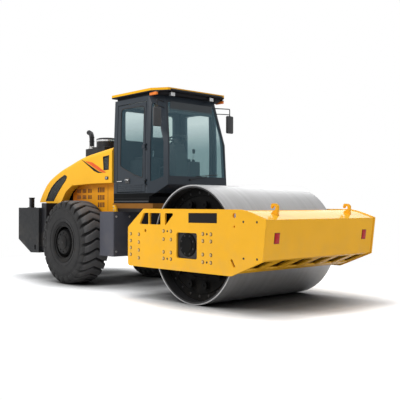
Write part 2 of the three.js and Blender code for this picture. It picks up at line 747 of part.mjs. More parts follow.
function hoodTopAt(x) {
  const behind = (hoodFront - x) / hoodScale;
  for (let index = 1; index < hoodLine.length; index += 1) {
    const [fromX, fromDrop] = hoodLine[index - 1];
    const [toX, toDrop] = hoodLine[index];
    if (behind <= toX) {
      return hoodTop - fromDrop - ((toDrop - fromDrop) * (behind - fromX)) / (toX - fromX);
    }
  }
  return 0;
}

// Louvred panel beside the engine, with a shelf that rests on the chassis rail.
function addSidePanels() {
  const front = hoodFront - 8;
  const rear = axleX - 560;
  const bottom = tankTop + fit;
  const top = archTop + 60;
  const shelfZ = railTop + fit;
  for (const [name, side] of sides) {
    const outline = [
      [front, bottom], [front, archTop - 12], [front - 40, archTop - 12], [front - 40, top],
      [axleX - 250, top], [rear, archTop - 170], [rear, bottom],
    ];
    const sheet = lengthwise(outline, side * (panelHalfWidth - panelThickness), side * panelHalfWidth);
    const skirtFront = Math.min(tankRear - runningGap, front);
    const skirt = box(rear, skirtFront, side * (panelHalfWidth - panelThickness),
      side * panelHalfWidth, shelfZ, bottom + 10);
    const shelf = box(rear, skirtFront, side * (railSpacing - 20), side * (panelHalfWidth - 5),
      shelfZ, shelfZ + 15);
    node(`side_panel_${name}`, joined(sheet, skirt, shelf), yellow);
  }
}

// Muffler box with its exhaust pipe, and the air pre-cleaner, both standing on the hood.
function addHoodStacks() {
  const above = (from, to, top) => {
    const corners = [[to, top, 12], [from, top, 12], [from, hoodTopAt(from) + fit]];
    for (const [behind] of hoodLine) {
      const x = hoodFront - behind * hoodScale;
      if (x > from && x < to) corners.push([x, hoodTopAt(x) + fit]);
    }
    const feet = corners.slice(3).sort((a, b) => a[0] - b[0]);
    return [...corners.slice(0, 3), ...feet, [to, hoodTopAt(to) + fit]];
  };
  const mufflerX = axleX - 595;
  const muffler = lengthwise(above(mufflerX - 70, mufflerX + 240, hoodTop + 80), -280, 20);
  const bend = new THREE.CatmullRomCurve3([
    new THREE.Vector3(mufflerX + 20, -200, hoodTop + 60),
    new THREE.Vector3(mufflerX + 20, -200, hoodTop + 240),
    new THREE.Vector3(mufflerX + 12, -200, hoodTop + 330),
    new THREE.Vector3(mufflerX - 20, -200, hoodTop + 385),
    new THREE.Vector3(mufflerX - 95, -200, hoodTop + 410),
  ]);
  const section = new THREE.Shape();
  section.absarc(0, 0, 48, 0, 2 * Math.PI);
  const pipe = solidOf(new THREE.ExtrudeGeometry(section, {
    steps: 10, curveSegments: 4, bevelEnabled: false, extrudePath: bend,
  }));
  node('exhaust_stack', joined(muffler, pipe), black);
  const cleanerX = axleX - 120;
  const base = lengthwise(above(cleanerX - 200, cleanerX + 200, hoodTop + 90), -350, 50);
  const drum = rod('z', 205, [cleanerX, -150], hoodTop + 60, hoodTop + 240, 36);
  node('air_cleaner', joined(base, drum), black);
}

// ---------------------------------------------------------------- cab

// Rings of the cab's outer form from the sill up: front edge, half width there, half width behind.
const screenFoot = cabSill + 190;
const cabRings = [
  { z: cabSill, frontX: cabFront - 330, frontY: cabHalfWidth - 17, sideY: cabHalfWidth },
  { z: screenFoot, frontX: cabFront, frontY: cabHalfWidth - 110, sideY: cabHalfWidth },
  { z: cabSill + 870, frontX: cabFront - 25, frontY: cabHalfWidth - 128, sideY: cabHalfWidth },
  { z: cabTop, frontX: cabFront - 205, frontY: cabHalfWidth - 215, sideY: cabHalfWidth - 28 },
];

// The cab's outline at any height, straight between the rings and on past the last of them.
function cabRingAt(z) {
  let upper = cabRings.findIndex((ring) => ring.z > z);
  if (upper < 1) upper = upper === 0 ? 1 : cabRings.length - 1;
  const [low, high] = [cabRings[upper - 1], cabRings[upper]];
  const share = (z - low.z) / (high.z - low.z);
  const between = (key) => low[key] + (high[key] - low[key]) * share;
  return { z, frontX: between('frontX'), frontY: between('frontY'), sideY: between('sideY') };
}

function cabBody(inset, bottom = cabSill, top = cabTop) {
  const points = [];
  const heights = [bottom, ...cabRings.slice(1, -1).map((ring) => ring.z), top];
  for (const { z, frontX, frontY, sideY } of heights.map(cabRingAt)) {
    for (const side of [-1, 1]) {
      points.push(new THREE.Vector3(cabRear + inset, side * (sideY - inset), z));
      points.push(new THREE.Vector3(cabKink - inset * 0.2, side * (sideY - inset), z));
      points.push(new THREE.Vector3(frontX - inset, side * (frontY - inset * 0.9), z));
    }
  }
  return hull(points);
}

const doorRear = cabRear + 95;
const doorFront = cabKink - 48;
const doorBottom = cabFloorTop + 12;
const doorTop = cabTop - 82;
const doorGap = 12;

const doorWindow = [
  [cabRear + 190, cabTop - 148, 60], [cabKink - 104, cabTop - 158, 60],
  [cabKink - 116, cabFloorTop + 247, 30], [cabKink - 280, cabFloorTop + 277, 40],
  [cabRear + 185, cabFloorTop + 451, 50],
];
const quarterWindow = [
  [cabKink + 55, cabTop - 130, 25], [cabFront - 265, cabTop - 130, 25],
  [cabFront - 105, cabSill + 870], [cabFront - 82, screenFoot + 128, 25],
  [cabKink + 55, cabSill + 230, 25],
];
const screenWindow = [
  [-(cabHalfWidth - 142), screenFoot + 135, 25], [cabHalfWidth - 142, screenFoot + 135, 25],
  [cabHalfWidth - 160, cabSill + 870], [cabHalfWidth - 250, cabTop - 105, 30],
  [-(cabHalfWidth - 250), cabTop - 105, 30], [-(cabHalfWidth - 160), cabSill + 870],
];
const rearGlassWindow = [
  [-540, cabTop - 650, 40], [540, cabTop - 650, 40], [540, cabTop - 150, 40], [-540, cabTop - 150, 40],
];

// Outside hinges of each door, where the cab's side stands upright.
const doorHingeX = doorFront + 3;
const doorHingeY = cabHalfWidth + 20;
const doorHingeHeights = [cabSill + 230, cabSill + 800];
const doorPinRadius = 8;
const knuckleRadius = 14;
const knuckleHalf = 30;

function hingeLugs(side) {
  return doorHingeHeights.flatMap((z) => [
    ...[-1, 1].map((up) => box(doorHingeX - 10, doorHingeX + 40, side * (cabHalfWidth - 3),
      side * (doorHingeY + 12), z + up * (knuckleHalf + 2), z + up * (knuckleHalf + 18))),
    rod('z', doorPinRadius, [doorHingeX, side * doorHingeY], z - knuckleHalf - 10, z + knuckleHalf + 10, 12),
  ]);
}

function hingeKnuckles(side) {
  return doorHingeHeights.map((z) => cut(joined(
    rod('z', knuckleRadius, [doorHingeX, side * doorHingeY], z - knuckleHalf, z + knuckleHalf, 12),
    box(doorHingeX - 70, doorHingeX, side * (doorHingeY - 8), side * (doorHingeY + 4),
      z - knuckleHalf, z + knuckleHalf),
    box(doorHingeX - 70, doorFront - doorGap - 2, side * (cabHalfWidth - 3), side * (doorHingeY - 6),
      z - knuckleHalf, z + knuckleHalf),
  ), rod('z', doorPinRadius + bearingGap, [doorHingeX, side * doorHingeY], z - 60, z + 60, 12)));
}

function acrossSide(outline, side) {
  return lengthwise(outline, side * 300, side * (cabHalfWidth + 60));
}

function addCab() {
  const outer = cabBody(0);
  const inner = cabBody(cabWall, cabFloorTop, cabTop + 60);
  const floorCut = box(cabRear - 200, cabFront + 200, -1000, 1000, 0, cabFloorTop);
  const upper = cut(outer, inner, box(cabRear - 200, cabFront + 200, -1000, 1000, 0, cabFloorTop + fit));
  const base = box(cabRear - 5, cabKink + 45, -cabHalfWidth + 5, cabHalfWidth - 5, cabBottom, cabSill + 5);
  node('cab_floor', joined(outer.intersect(floorCut), base), charcoal);

  const rearEdge = cabRear + 50;
  const screenCut = crosswise(screenWindow, cabFront - 420, cabFront + 60);
  const rearCut = crosswise(rearGlassWindow, cabRear - 40, cabRear + 90);
  node('cab_rear_wall',
    cut(upper.intersect(box(cabRear - 10, rearEdge, -1000, 1000, 0, 4000)), rearCut), charcoal);
  const quarterCuts = sides.map(([, side]) => acrossSide(quarterWindow, side));
  node('cab_front_frame', cut(upper.intersect(box(cabKink + fit, cabFront + 10, -1000, 1000, 0, 4000)),
    screenCut, ...quarterCuts), charcoal);

  const pane = cut(cabBody(glassSetback),
    cabBody(glassSetback + glassThickness, cabSill - 30, cabTop + 60));
  const screenArea = crosswise(insetOutline(screenWindow, fit), cabFront - 420, cabFront + 60);
  node('windscreen', pane.intersect(screenArea), glass);
  const rearPane = crosswise(insetOutline(rearGlassWindow, fit), cabRear + glassSetback,
    cabRear + glassSetback + glassThickness);
  node('rear_window', rearPane, glass);

  for (const [name, side] of sides) {
    const half = box(rearEdge + fit, cabKink, side * 500, side * 1000, 0, 4000);
    const sideWall = upper.intersect(half);
    const opening = box(doorRear, doorFront, side * 500, side * 1000, doorBottom, doorTop);
    node(`cab_side_frame_${name}`, joined(cut(sideWall, opening), ...hingeLugs(side)), charcoal);
    const leaf = upper.intersect(box(doorRear + doorGap, doorFront - doorGap, side * 500, side * 1000,
      doorBottom + doorGap, doorTop - doorGap));
    node(`door_${name}`,
      joined(cut(leaf, acrossSide(doorWindow, side)), ...hingeKnuckles(side)), charcoal);
    node(`door_glass_${name}`, pane.intersect(acrossSide(insetOutline(doorWindow, fit), side)), glass);
    node(`quarter_window_${name}`,
      pane.intersect(acrossSide(insetOutline(quarterWindow, fit), side)), glass);
  }
}

function addRoof() {
  const rear = cabRear - roofOverhang;
  const half = cabHalfWidth + 25;
  const front = cabFront - 25;
  const outline = [
    [rear, -half, 40], [cabKink + 110, -half, 60], [front, -(half - 165), 40],
    [front, half - 165, 40], [cabKink + 110, half, 60], [rear, half, 40],
  ];
  const slab = level(outline, cabTop + 45, roofTop);
  const plinth = level(insetOutline(outline, 70), cabTop + fit, cabTop + 50);
  node('cab_roof', joined(slab, plinth), yellow);
}

// Flat mirror head on a looped arm at each front corner of the cab.
function addMirrors() {
  const x = cabFront - 85;
  for (const [name, side] of sides) {
    const head = box(x - 25, x + 25, side * (cabHalfWidth - 30), side * (cabHalfWidth + 125),
      cabTop - 530, cabTop - 225);
    const post = rod('z', 11, [x, side * (cabHalfWidth + 60)], cabTop - 240, cabTop - 105, 12);
    const footY = cabHalfWidth - 190;
    const armX = cabFront - 210;
    const tipY = cabHalfWidth + 60;
    const upperArm = box(armX - 10, x + 10, side * (footY - 10), side * tipY,
      cabTop - 116, cabTop - 96);
    const lowerArm = box(armX - 10, x + 10, side * (footY + 10), side * tipY,
      cabTop - 212, cabTop - 192);
    const clearOfCab = cabBody(-fit);
    node(`mirror_${name}`, cut(joined(head, post, upperArm, lowerArm), clearOfCab), black);
  }
}

// ---------------------------------------------------------------- operator's place

function addOperatorStation() {
  const seatX = cabRear + 430;
  const floor = cabFloorTop + fit;
  const seatHeight = 340;
  node('seat_base', joined(
    box(seatX - 190, seatX + 190, -170, 170, floor, floor + 210),
    box(seatX - 240, seatX + 240, -230, 230, floor + 205, floor + seatHeight),
  ), plastic);
  const cushionTop = floor + seatHeight + 120;
  node('seat_cushion', level([
    [seatX - 200, -250, 50], [seatX + 270, -250, 70], [seatX + 270, 250, 70], [seatX - 200, 250, 50],
  ], floor + seatHeight + fit, cushionTop), fabric);
  node('seat_backrest', lengthwise([
    [seatX - 215, floor + seatHeight + fit, 20], [seatX - 205, cushionTop + 10, 10],
    [seatX - 145, cushionTop + 20, 10], [seatX - 215, cushionTop + 560, 40],
    [seatX - 320, cushionTop + 560, 40], [seatX - 300, floor + seatHeight + fit, 20],
  ], -240, 240), fabric);
  const consoleX = cabFront - 480;
  const wheelX = consoleX - 110;
  const wheelZ = floor + 905;
  const columnOutline = [
    [consoleX - 70, floor], [consoleX + 90, floor], [consoleX + 40, floor + 700, 20],
    [wheelX + 60, wheelZ - 70, 20], [wheelX - 5, wheelZ - 95, 20],
  ];
  node('steering_console', lengthwise(columnOutline, -130, 130), plastic);
  const wheel = new THREE.TorusGeometry(190, 16, 8, 28);
  const steeringRim = solidOf(wheel);
  const spokes = joined(box(-185, 185, -16, 16, -8, 8), box(-16, 16, -185, 0, -8, 8));
  const hub = rod('z', 45, [0, 0], -120, 14, 16);
  const { vertProperties, triVerts } = joined(steeringRim, spokes, hub).getMesh();
  const geometry = new THREE.BufferGeometry();
  geometry.setAttribute('position', new THREE.BufferAttribute(vertProperties, 3));
  geometry.setIndex(new THREE.BufferAttribute(triVerts, 1));
  geometry.rotateZ(-Math.PI / 2);
  geometry.rotateY(-THREE.MathUtils.degToRad(20));
  geometry.translate(wheelX, 0, wheelZ);
  const clearOfColumn = lengthwise(insetOutline(columnOutline, -fit), -131, 131);
  node('steering_wheel', cut(solidOf(geometry), clearOfColumn), plastic);
  for (const [name, side] of sides) {
    node(`armrest_console_${name}`, box(seatX - 230, seatX + 300, side * 330, side * 560,
      floor, floor + 560), plastic);
  }
}

function addPlatform() {
  node('cab_platform', level([
    [cabRear - 15, -cabHalfWidth - 10], [cabKink + 160, -cabHalfWidth - 10],
    [cabKink + 160, cabHalfWidth + 10], [cabRear - 15, cabHalfWidth + 10],
  ], tankTop + fit, cabBottom - fit), yellow);
}

addDrum();
addSidePlates();
addFrontBeam();
addCrossbeam();
addDrumCarriers();
addScrapers();
addLiftingHooks();
addHingeBlock();
addSteeringCylinders();
addChassis();
addTankHousing();
addRearAxle();
addWheels();
addCounterweight();
addEngineAndCooling();
addHood();
addSidePanels();
addHoodStacks();
addPlatform();
addCab();
addRoof();
addMirrors();
addOperatorStation();

model.position.x = -(beamReach + counterweightRear) / 2;

export default model;
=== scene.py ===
import math

import bmesh
import bpy
from mathutils import Matrix, Vector, noise


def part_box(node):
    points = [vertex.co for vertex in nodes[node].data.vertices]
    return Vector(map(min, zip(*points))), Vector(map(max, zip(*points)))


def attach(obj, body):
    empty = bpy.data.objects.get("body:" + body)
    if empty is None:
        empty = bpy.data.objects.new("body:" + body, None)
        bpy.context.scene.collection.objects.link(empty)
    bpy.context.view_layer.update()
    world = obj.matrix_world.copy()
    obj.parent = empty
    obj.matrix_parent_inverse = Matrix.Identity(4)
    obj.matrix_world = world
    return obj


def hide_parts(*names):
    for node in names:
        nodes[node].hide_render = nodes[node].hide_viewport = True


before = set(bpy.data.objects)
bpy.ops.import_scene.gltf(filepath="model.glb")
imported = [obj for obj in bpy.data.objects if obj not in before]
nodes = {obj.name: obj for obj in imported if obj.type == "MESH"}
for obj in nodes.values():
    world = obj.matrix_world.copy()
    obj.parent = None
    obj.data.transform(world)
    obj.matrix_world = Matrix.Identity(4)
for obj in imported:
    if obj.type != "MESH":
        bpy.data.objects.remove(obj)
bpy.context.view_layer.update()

scene = bpy.context.scene
SIDES = (("right", -1), ("left", 1))

# Lengths are in metres in the row frame. The axles come from the frame.
drum_low, drum_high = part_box("drum_shell")
tyre_low, tyre_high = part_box("tyre_right")
DRUM_X, DRUM_Z = (drum_low.x + drum_high.x) / 2, (drum_low.z + drum_high.z) / 2
AXLE_X = (tyre_low.x + tyre_high.x) / 2
AXLE_Z = round((tyre_low.z + tyre_high.z) / 2, 4)
TYRE_Y = round(-(tyre_low.y + tyre_high.y) / 2, 4)


def at(x, y, z):
    """A point whose X is given from the drum's axle."""
    return Vector((x + DRUM_X, y, z))


def node_box(name):
    """A CAD node's low and high corners, X from the drum's axle, to a tenth of a millimetre."""
    return [[round(c, 4) for c in corner - at(0.0, 0.0, 0.0)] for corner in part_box(name)]


# ---------------------------------------------------------------- camera

SENSOR_WIDTH = 36.0        # in millimetres, as the focal length is
FOCAL_LENGTH = 59.8797
YAW, PITCH, ROLL = (math.radians(angle) for angle in (137.762, 0.403, -0.120))

camera_data = bpy.data.cameras.new("camera")
camera_data.sensor_width = SENSOR_WIDTH
camera_data.lens = FOCAL_LENGTH
camera_data.clip_end = 200
camera = bpy.data.objects.new("camera", camera_data)
scene.collection.objects.link(camera)
look = Vector((math.cos(PITCH) * math.cos(YAW), math.cos(PITCH) * math.sin(YAW), math.sin(PITCH)))
camera.location = at(6.9689, -7.2629, 1.4009)
camera.rotation_mode = "QUATERNION"
camera.rotation_quaternion = look.to_track_quat("-Z", "Y") @ Matrix.Rotation(-ROLL, 3, "Z").to_quaternion()
scene.camera = camera


# ---------------------------------------------------------------- materials

class NodeTree:
    """A node tree, with short calls for the nodes that this scene needs."""

    def __init__(self, tree):
        self.tree = tree
        self.tree.nodes.clear()

    def link(self, source, target):
        self.tree.links.new(source, target)

    def feed(self, target, value):
        if hasattr(value, "is_output"):
            self.link(value, target)
        else:
            target.default_value = value

    def node(self, kind, inputs=None, **values):
        """Makes a node with its properties, its inputs fed by numbers or by other nodes' outputs."""
        made = self.tree.nodes.new(kind)
        for key, value in values.items():
            setattr(made, key, value)
        for key, value in (inputs or {}).items():
            self.feed(made.inputs[key], value)
        return made

    def math(self, operation, a, b=0.0):
        return self.node("ShaderNodeMath", {0: a, 1: b}, operation=operation).outputs[0]

    def vector(self, operation, a, b=(0.0, 0.0, 0.0), output="Vector"):
        return self.node("ShaderNodeVectorMath", {0: a, 1: b}, operation=operation).outputs[output]

    def seen_directly(self):
        """1 for rays from the camera, a mirror or glass, and 0 for light that falls on the object."""
        ray = self.node("ShaderNodeLightPath").outputs
        return self.math("MAXIMUM", ray["Is Camera Ray"],
                         self.math("MAXIMUM", ray["Is Glossy Ray"], ray["Is Transmission Ray"]))


class Graph(NodeTree):
    """A material's nodes, round one Principled shader."""

    def __init__(self, name):
        self.material = bpy.data.materials.new(name)
        self.material.use_nodes = True
        super().__init__(self.material.node_tree)
        self.output = self.node("ShaderNodeOutputMaterial")
        self.shader = self.node("ShaderNodeBsdfPrincipled")
        self.link(self.shader.outputs[0], self.output.inputs["Surface"])
        self.place = self.node("ShaderNodeTexCoord").outputs["Object"]

    def scaled(self, x, y, z):
        return self.node("ShaderNodeMapping", {"Vector": self.place, "Scale": (x, y, z)}).outputs[0]

    def noise(self, scale, detail=3.0, where=None, rough=0.55):
        inputs = {"Vector": where or self.place, "Scale": scale, "Detail": detail, "Roughness": rough}
        return self.node("ShaderNodeTexNoise", inputs).outputs["Fac"]

    def wave(self, direction, scale, distortion):
        inputs = {"Vector": self.place, "Scale": scale, "Distortion": distortion}
        return self.node("ShaderNodeTexWave", inputs, wave_type="BANDS",
                         bands_direction=direction).outputs["Fac"]

    def span(self, value, low, high, to_low=0.0, to_high=1.0):
        """Turns the range from low to high into the range from to_low to to_high."""
        inputs = {"Value": value, "From Min": low, "From Max": high, "To Min": to_low, "To Max": to_high}
        return self.node("ShaderNodeMapRange", inputs, clamp=True).outputs[0]

    def mix(self, share, a, b):
        a, b = (value if hasattr(value, "is_output") else (*value[:3], 1.0) for value in (a, b))
        return self.node("ShaderNodeMix", {"Factor": share, 6: a, 7: b}, data_type="RGBA").outputs[2]

    def axis(self, letter):
        return self.node("ShaderNodeSeparateXYZ", {0: self.place}).outputs["XYZ".index(letter)]

    def radius(self, x, z):
        """Distance from the axle through (x, z), which runs across the machine."""
        away = self.vector("SUBTRACT", self.place, (x, 0.0, z))
        return self.vector("LENGTH", self.vector("MULTIPLY", away, (1.0, 0.0, 1.0)), output="Value")

    def bevel(self, radius):
        return self.node("ShaderNodeBevel", {"Radius": radius}, samples=4).outputs[0]

    def edge(self, radius, low=0.9, high=0.995):
        """1 along sharp edges, 0 on open faces, from a rounded normal against the true one."""
        true = self.node("ShaderNodeNewGeometry").outputs["Normal"]
        return self.span(self.vector("DOT_PRODUCT", self.bevel(radius), true, "Value"), low, high, 1.0, 0.0)

    def bump(self, height, strength, distance, round_edges=0.0):
        made = self.node("ShaderNodeBump", {"Height": height, "Strength": strength, "Distance": distance})
        if round_edges:
            self.link(self.bevel(round_edges), made.inputs["Normal"])
        self.link(made.outputs[0], self.shader.inputs["Normal"])

    def set(self, **values):
        names = {"color": "Base Color", "rough": "Roughness", "metal": "Metallic", "coat": "Coat Weight",
                 "coat_rough": "Coat Roughness", "sheen": "Sheen Weight", "specular": "Specular IOR Level",
                 "glow": "Emission Color", "glow_strength": "Emission Strength",
                 "clear": "Transmission Weight", "ior": "IOR"}
        for key, value in values.items():
            if key in ("color", "glow") and not hasattr(value, "is_output"):
                value = (*value[:3], 1.0)
            self.feed(self.shader.inputs[names[key]], value)
        return self.material


DUST = (0.34, 0.29, 0.23)


def painted(name, colour, rough=0.36, coat=0.0, worn=None, dust=0.20, dark=None, dark_below=0.0, shine=0.28,
            rear_shade=None):
    """Sprayed paint: faint orange peel, slight tone drift, dust that gathers low down, worn edges, and two
    optional marks of painted shade: a dark band below a height, and a colour that darkens towards the rear.
    """
    g = Graph(name)
    tone = g.mix(g.span(g.noise(0.9, 4.0), 0.3, 0.7), [c * 0.93 for c in colour], [c * 1.04 for c in colour])
    # painted shade: below dark_below the colour turns to the dark one (on the roof this band also covers the
    # black plinth)
    if dark:
        tone = g.mix(g.span(g.axis("Z"), dark_below - 0.003, dark_below + 0.003), dark, tone)
    # painted shade: the colour darkens towards the rear, towards lower X
    if rear_shade:
        tone = g.mix(g.span(g.axis("X"), -1.95, -1.45), rear_shade, tone)
    dirt = g.math("MULTIPLY", g.span(g.axis("Z"), 1.15, 0.15, 0.0, dust),
                  g.span(g.noise(5.0, 6.0), 0.42, 0.72))
    tone = g.mix(dirt, tone, DUST)
    if worn:
        chips = g.math("MULTIPLY", g.edge(0.006), g.span(g.noise(38.0, 5.0), 0.55, 0.72, 0.0, 0.55))
        tone = g.mix(chips, tone, worn)
    g.bump(g.noise(420.0, 2.0), 0.06, 0.0006, round_edges=0.004)
    spread = g.math("ADD", g.span(g.noise(14.0, 4.0), 0.3, 0.7, rough - 0.05, rough + 0.07),
                    g.math("MULTIPLY", dirt, 0.4))
    return g.set(color=tone, rough=spread, coat=coat, coat_rough=0.18, specular=shine)


def plain(name, colour, rough, metal=0.0, grain=260.0, depth=0.0004, strength=0.15, tone=0.12, **more):
    """A moulded, cast or plated surface with its grain and a slight change of tone."""
    g = Graph(name)
    darker, lighter = ([min(1.0, c * (1 + change)) for c in colour] for change in (-tone, tone))
    g.bump(g.noise(grain, 3.0), strength, depth, round_edges=0.0025)
    return g.set(color=g.mix(g.span(g.noise(7.0, 5.0), 0.3, 0.7), darker, lighter),
                 rough=g.span(g.noise(19.0, 4.0), 0.3, 0.7, rough - 0.05, rough + 0.06), metal=metal, **more)


YELLOW = (0.95, 0.485, 0.026)
BARE_STEEL = (0.30, 0.27, 0.24)
yellow = painted("yellow_paint", YELLOW, coat=0.30, worn=BARE_STEEL, shine=0.0)
# The side panels are yellow; their darker orange-brown is painted shade under the hood's arch, deeper towards
# the rear.
panel_shaded_yellow = painted("panel_shaded_paint", (0.80, 0.330, 0.016), coat=0.15, worn=BARE_STEEL, shine=0.0,
                       rear_shade=(0.34, 0.095, 0.008))
# Below 3.212 m the roof turns near black: the black plinth under it, and painted shade on the lower edge of the
# yellow slab.
roof_yellow = painted("roof_yellow_paint", YELLOW, rough=0.5, coat=0.05, shine=0.0,
                      dark=(0.025, 0.025, 0.028), dark_below=3.212)
# The platform is yellow; its brown is painted shade, and the near black below 1.338 m is a painted shadow.
platform_shaded_paint = painted("platform_shaded_paint", (0.25, 0.100, 0.012), rough=0.5, shine=0.15,
                         dark=(0.012, 0.010, 0.010), dark_below=1.338)
dark_grey = painted("dark_paint", (0.082, 0.084, 0.102), rough=0.50, worn=(0.18, 0.18, 0.18), shine=0.2)
weight_grey = painted("counterweight_paint", (0.018, 0.019, 0.0205), rough=0.50, worn=(0.15, 0.15, 0.15),
                      shine=0.15)
cab_grey = painted("cab_paint", (0.027, 0.035, 0.045), coat=0.08, worn=(0.11, 0.12, 0.14), shine=0.18)
cab_dark = painted("cab_base_paint", (0.004, 0.0045, 0.005), rough=0.42, worn=(0.06, 0.06, 0.07), shine=0.06)
black_paint = painted("black_paint", (0.011, 0.011, 0.013), rough=0.45, worn=(0.10, 0.10, 0.10), shine=0.25)
drum_black = painted("drum_end_paint", (0.005, 0.005, 0.005), rough=0.65, dust=0.03, shine=0.06)
rim_paint = painted("rim_paint", (0.006, 0.006, 0.0065), rough=0.5, worn=(0.10, 0.10, 0.10), dust=0.08,
                    shine=0.1)
painted_bolt = painted("bolt_paint", (0.66, 0.44, 0.16), rough=0.40, coat=0.10, worn=(0.30, 0.28, 0.26),
                       dust=0.0)
plastic = plain("moulded_plastic", (0.028, 0.029, 0.032), 0.55, grain=700.0, strength=0.3)
seal_rubber = plain("seal_rubber", (0.012, 0.012, 0.013), 0.7, grain=300.0)
hose_rubber = plain("hose_rubber", (0.016, 0.016, 0.018), 0.55, grain=500.0)
bolt_steel = plain("bolt_steel", (0.42, 0.41, 0.40), 0.38, 0.9, strength=0.1)
# Dark brown washers under the side-plate bolts: painted shade round each bolt.
washer_painted_shade = plain("washer_painted_shade", (0.10, 0.055, 0.015), 0.6)
chrome = plain("chrome", (0.80, 0.81, 0.82), 0.12, 1.0, grain=90.0, strength=0.03, tone=0.03)
silver = plain("silver_band", (0.62, 0.63, 0.64), 0.25, 0.9, grain=90.0, strength=0.05)
mirror_face = plain("mirror_face", (0.75, 0.78, 0.80), 0.06, 1.0, grain=30.0, strength=0.01, tone=0.02)
dark_void = plain("dark_void", (0.005, 0.005, 0.006), 0.8)
mesh_grey = plain("mesh_grey", (0.085, 0.095, 0.090), 0.5, grain=500.0)
# Flat dark patches for the louvre slots: painted shade in the openings.
louvre_slot_shade = plain("louvre_slot_shade", (0.045, 0.018, 0.006), 0.8)
blind_teal = plain("sun_blind", (0.012, 0.020, 0.026), 0.35, grain=300.0)
stripe_black = plain("stripe_black", (0.010, 0.009, 0.009), 0.45, grain=200.0, strength=0.05, specular=0.1)
stripe_orange = plain("stripe_orange", (0.80, 0.125, 0.030), 0.4, grain=200.0, strength=0.05, specular=0.1)


def lens(name, colour, glow):
    """A ribbed lamp lens or reflector with a faint glow, which is painted light."""
    g = Graph(name)
    g.bump(g.wave("Z", 40.0, 0.4), 0.5, 0.002)
    tone = g.mix(g.span(g.noise(30.0), 0.3, 0.7), [c * 0.85 for c in colour], colour)
    return g.set(color=tone, rough=0.25, coat=0.15, specular=0.15, glow=colour, glow_strength=glow)


# the glow strengths paint light into the lenses and reflectors
amber = lens("amber_lens", (0.86, 0.22, 0.03), 0.12)
red_lens = lens("red_lens", (0.46, 0.004, 0.008), 0.04)
lamp_glass = lens("lamp_glass", (0.70, 0.71, 0.72), 0.06)


def drum_material():
    """Rolled steel, ground bright by the soil: scratches run round the drum, its inside is painted."""
    g = Graph("drum_steel")
    scratch = g.noise(5.0, 6.0, where=g.scaled(0.35, 46.0, 0.35), rough=0.7)
    bands = g.noise(1.6, 5.0, where=g.scaled(0.25, 7.0, 0.25))
    steel = g.mix(g.span(bands, 0.3, 0.7), (0.37, 0.37, 0.37), (0.45, 0.45, 0.455))
    steel = g.mix(g.span(g.noise(3.2, 5.0), 0.56, 0.74, 0.0, 0.16), steel, (0.23, 0.22, 0.21))
    outside = g.span(g.radius(DRUM_X, DRUM_Z), 0.822, 0.824)
    g.bump(scratch, 0.18, 0.0015, round_edges=0.004)
    return g.set(color=g.mix(outside, (0.006, 0.006, 0.007), steel),
                 metal=g.math("MULTIPLY", outside, 0.62),
                 rough=g.math("ADD", g.span(scratch, 0.3, 0.7, 0.38, 0.52),
                              g.math("MULTIPLY", g.math("SUBTRACT", 1.0, outside), 0.2)))


def rubber_material():
    """Tyre rubber: dark walls, lug tops paler, partly from scuffing and partly painted light on the tread, and
    a little dust low down.
    """
    g = Graph("tyre_rubber")
    tone = g.mix(g.span(g.noise(6.0, 6.0), 0.3, 0.7), (0.010, 0.0098, 0.0102), (0.017, 0.0165, 0.0168))
    # paler lug tops: partly scuffing, partly painted light on the tread
    tone = g.mix(g.span(g.radius(AXLE_X, AXLE_Z), 0.700, 0.728), tone, (0.125, 0.122, 0.123))
    dusty = g.math("MULTIPLY", g.span(g.noise(2.4, 5.0), 0.45, 0.75),
                   g.span(g.axis("Z"), 0.9, 0.0, 0.06, 0.24))
    g.bump(g.noise(170.0, 5.0), 0.35, 0.0012, round_edges=0.004)
    return g.set(color=g.mix(dusty, tone, (0.115, 0.11, 0.105)), specular=0.35,
                 rough=g.span(g.noise(12.0), 0.3, 0.7, 0.68, 0.86))


def glass_material(name, colour, low, tint, sky_reflection_glow):
    """Tinted safety glass, deeper in colour low down, with a faint film of dust and a bluish glow that is a
    painted reflection of the sky.
    """
    g = Graph(name)
    tone = g.mix(g.span(g.axis("Z"), *tint), low, colour)
    tone = g.mix(g.span(g.noise(2.2, 5.0), 0.45, 0.8, 0.0, 0.10), tone, (0.70, 0.72, 0.72))
    # the bluish glow is a painted reflection of the sky
    return g.set(color=tone, rough=g.span(g.noise(9.0, 4.0), 0.4, 0.8, 0.0, 0.015), clear=1.0, ior=1.08,
                 glow=(0.42, 0.72, 0.90), glow_strength=sky_reflection_glow)


def fabric_material():
    """Woven seat cloth: two crossing thread waves with a soft sheen."""
    g = Graph("seat_fabric")
    along, across, upright = (g.wave(direction, 110.0, 1.2) for direction in "XYZ")
    weave = g.math("MULTIPLY", g.math("ADD", along, upright), across)
    g.bump(weave, 0.5, 0.0012)
    tone = g.mix(g.span(weave, 0.0, 1.6), (0.020, 0.020, 0.023), (0.060, 0.060, 0.068))
    return g.set(color=tone, rough=0.92, sheen=0.35)


drum_steel = drum_material()
rubber = rubber_material()
cloth = fabric_material()
side_glass = glass_material("side_glass", (0.755, 0.785, 0.785), (0.26, 0.33, 0.34), (2.38, 2.85), 0.040)
front_glass = glass_material("front_glass", (0.62, 0.69, 0.66), (0.47, 0.555, 0.52), (2.05, 2.75), 0.045)


def pair(*names):
    """The right and the left node of each name."""
    return [f"{name}_{side}" for name in names for side, _ in SIDES]


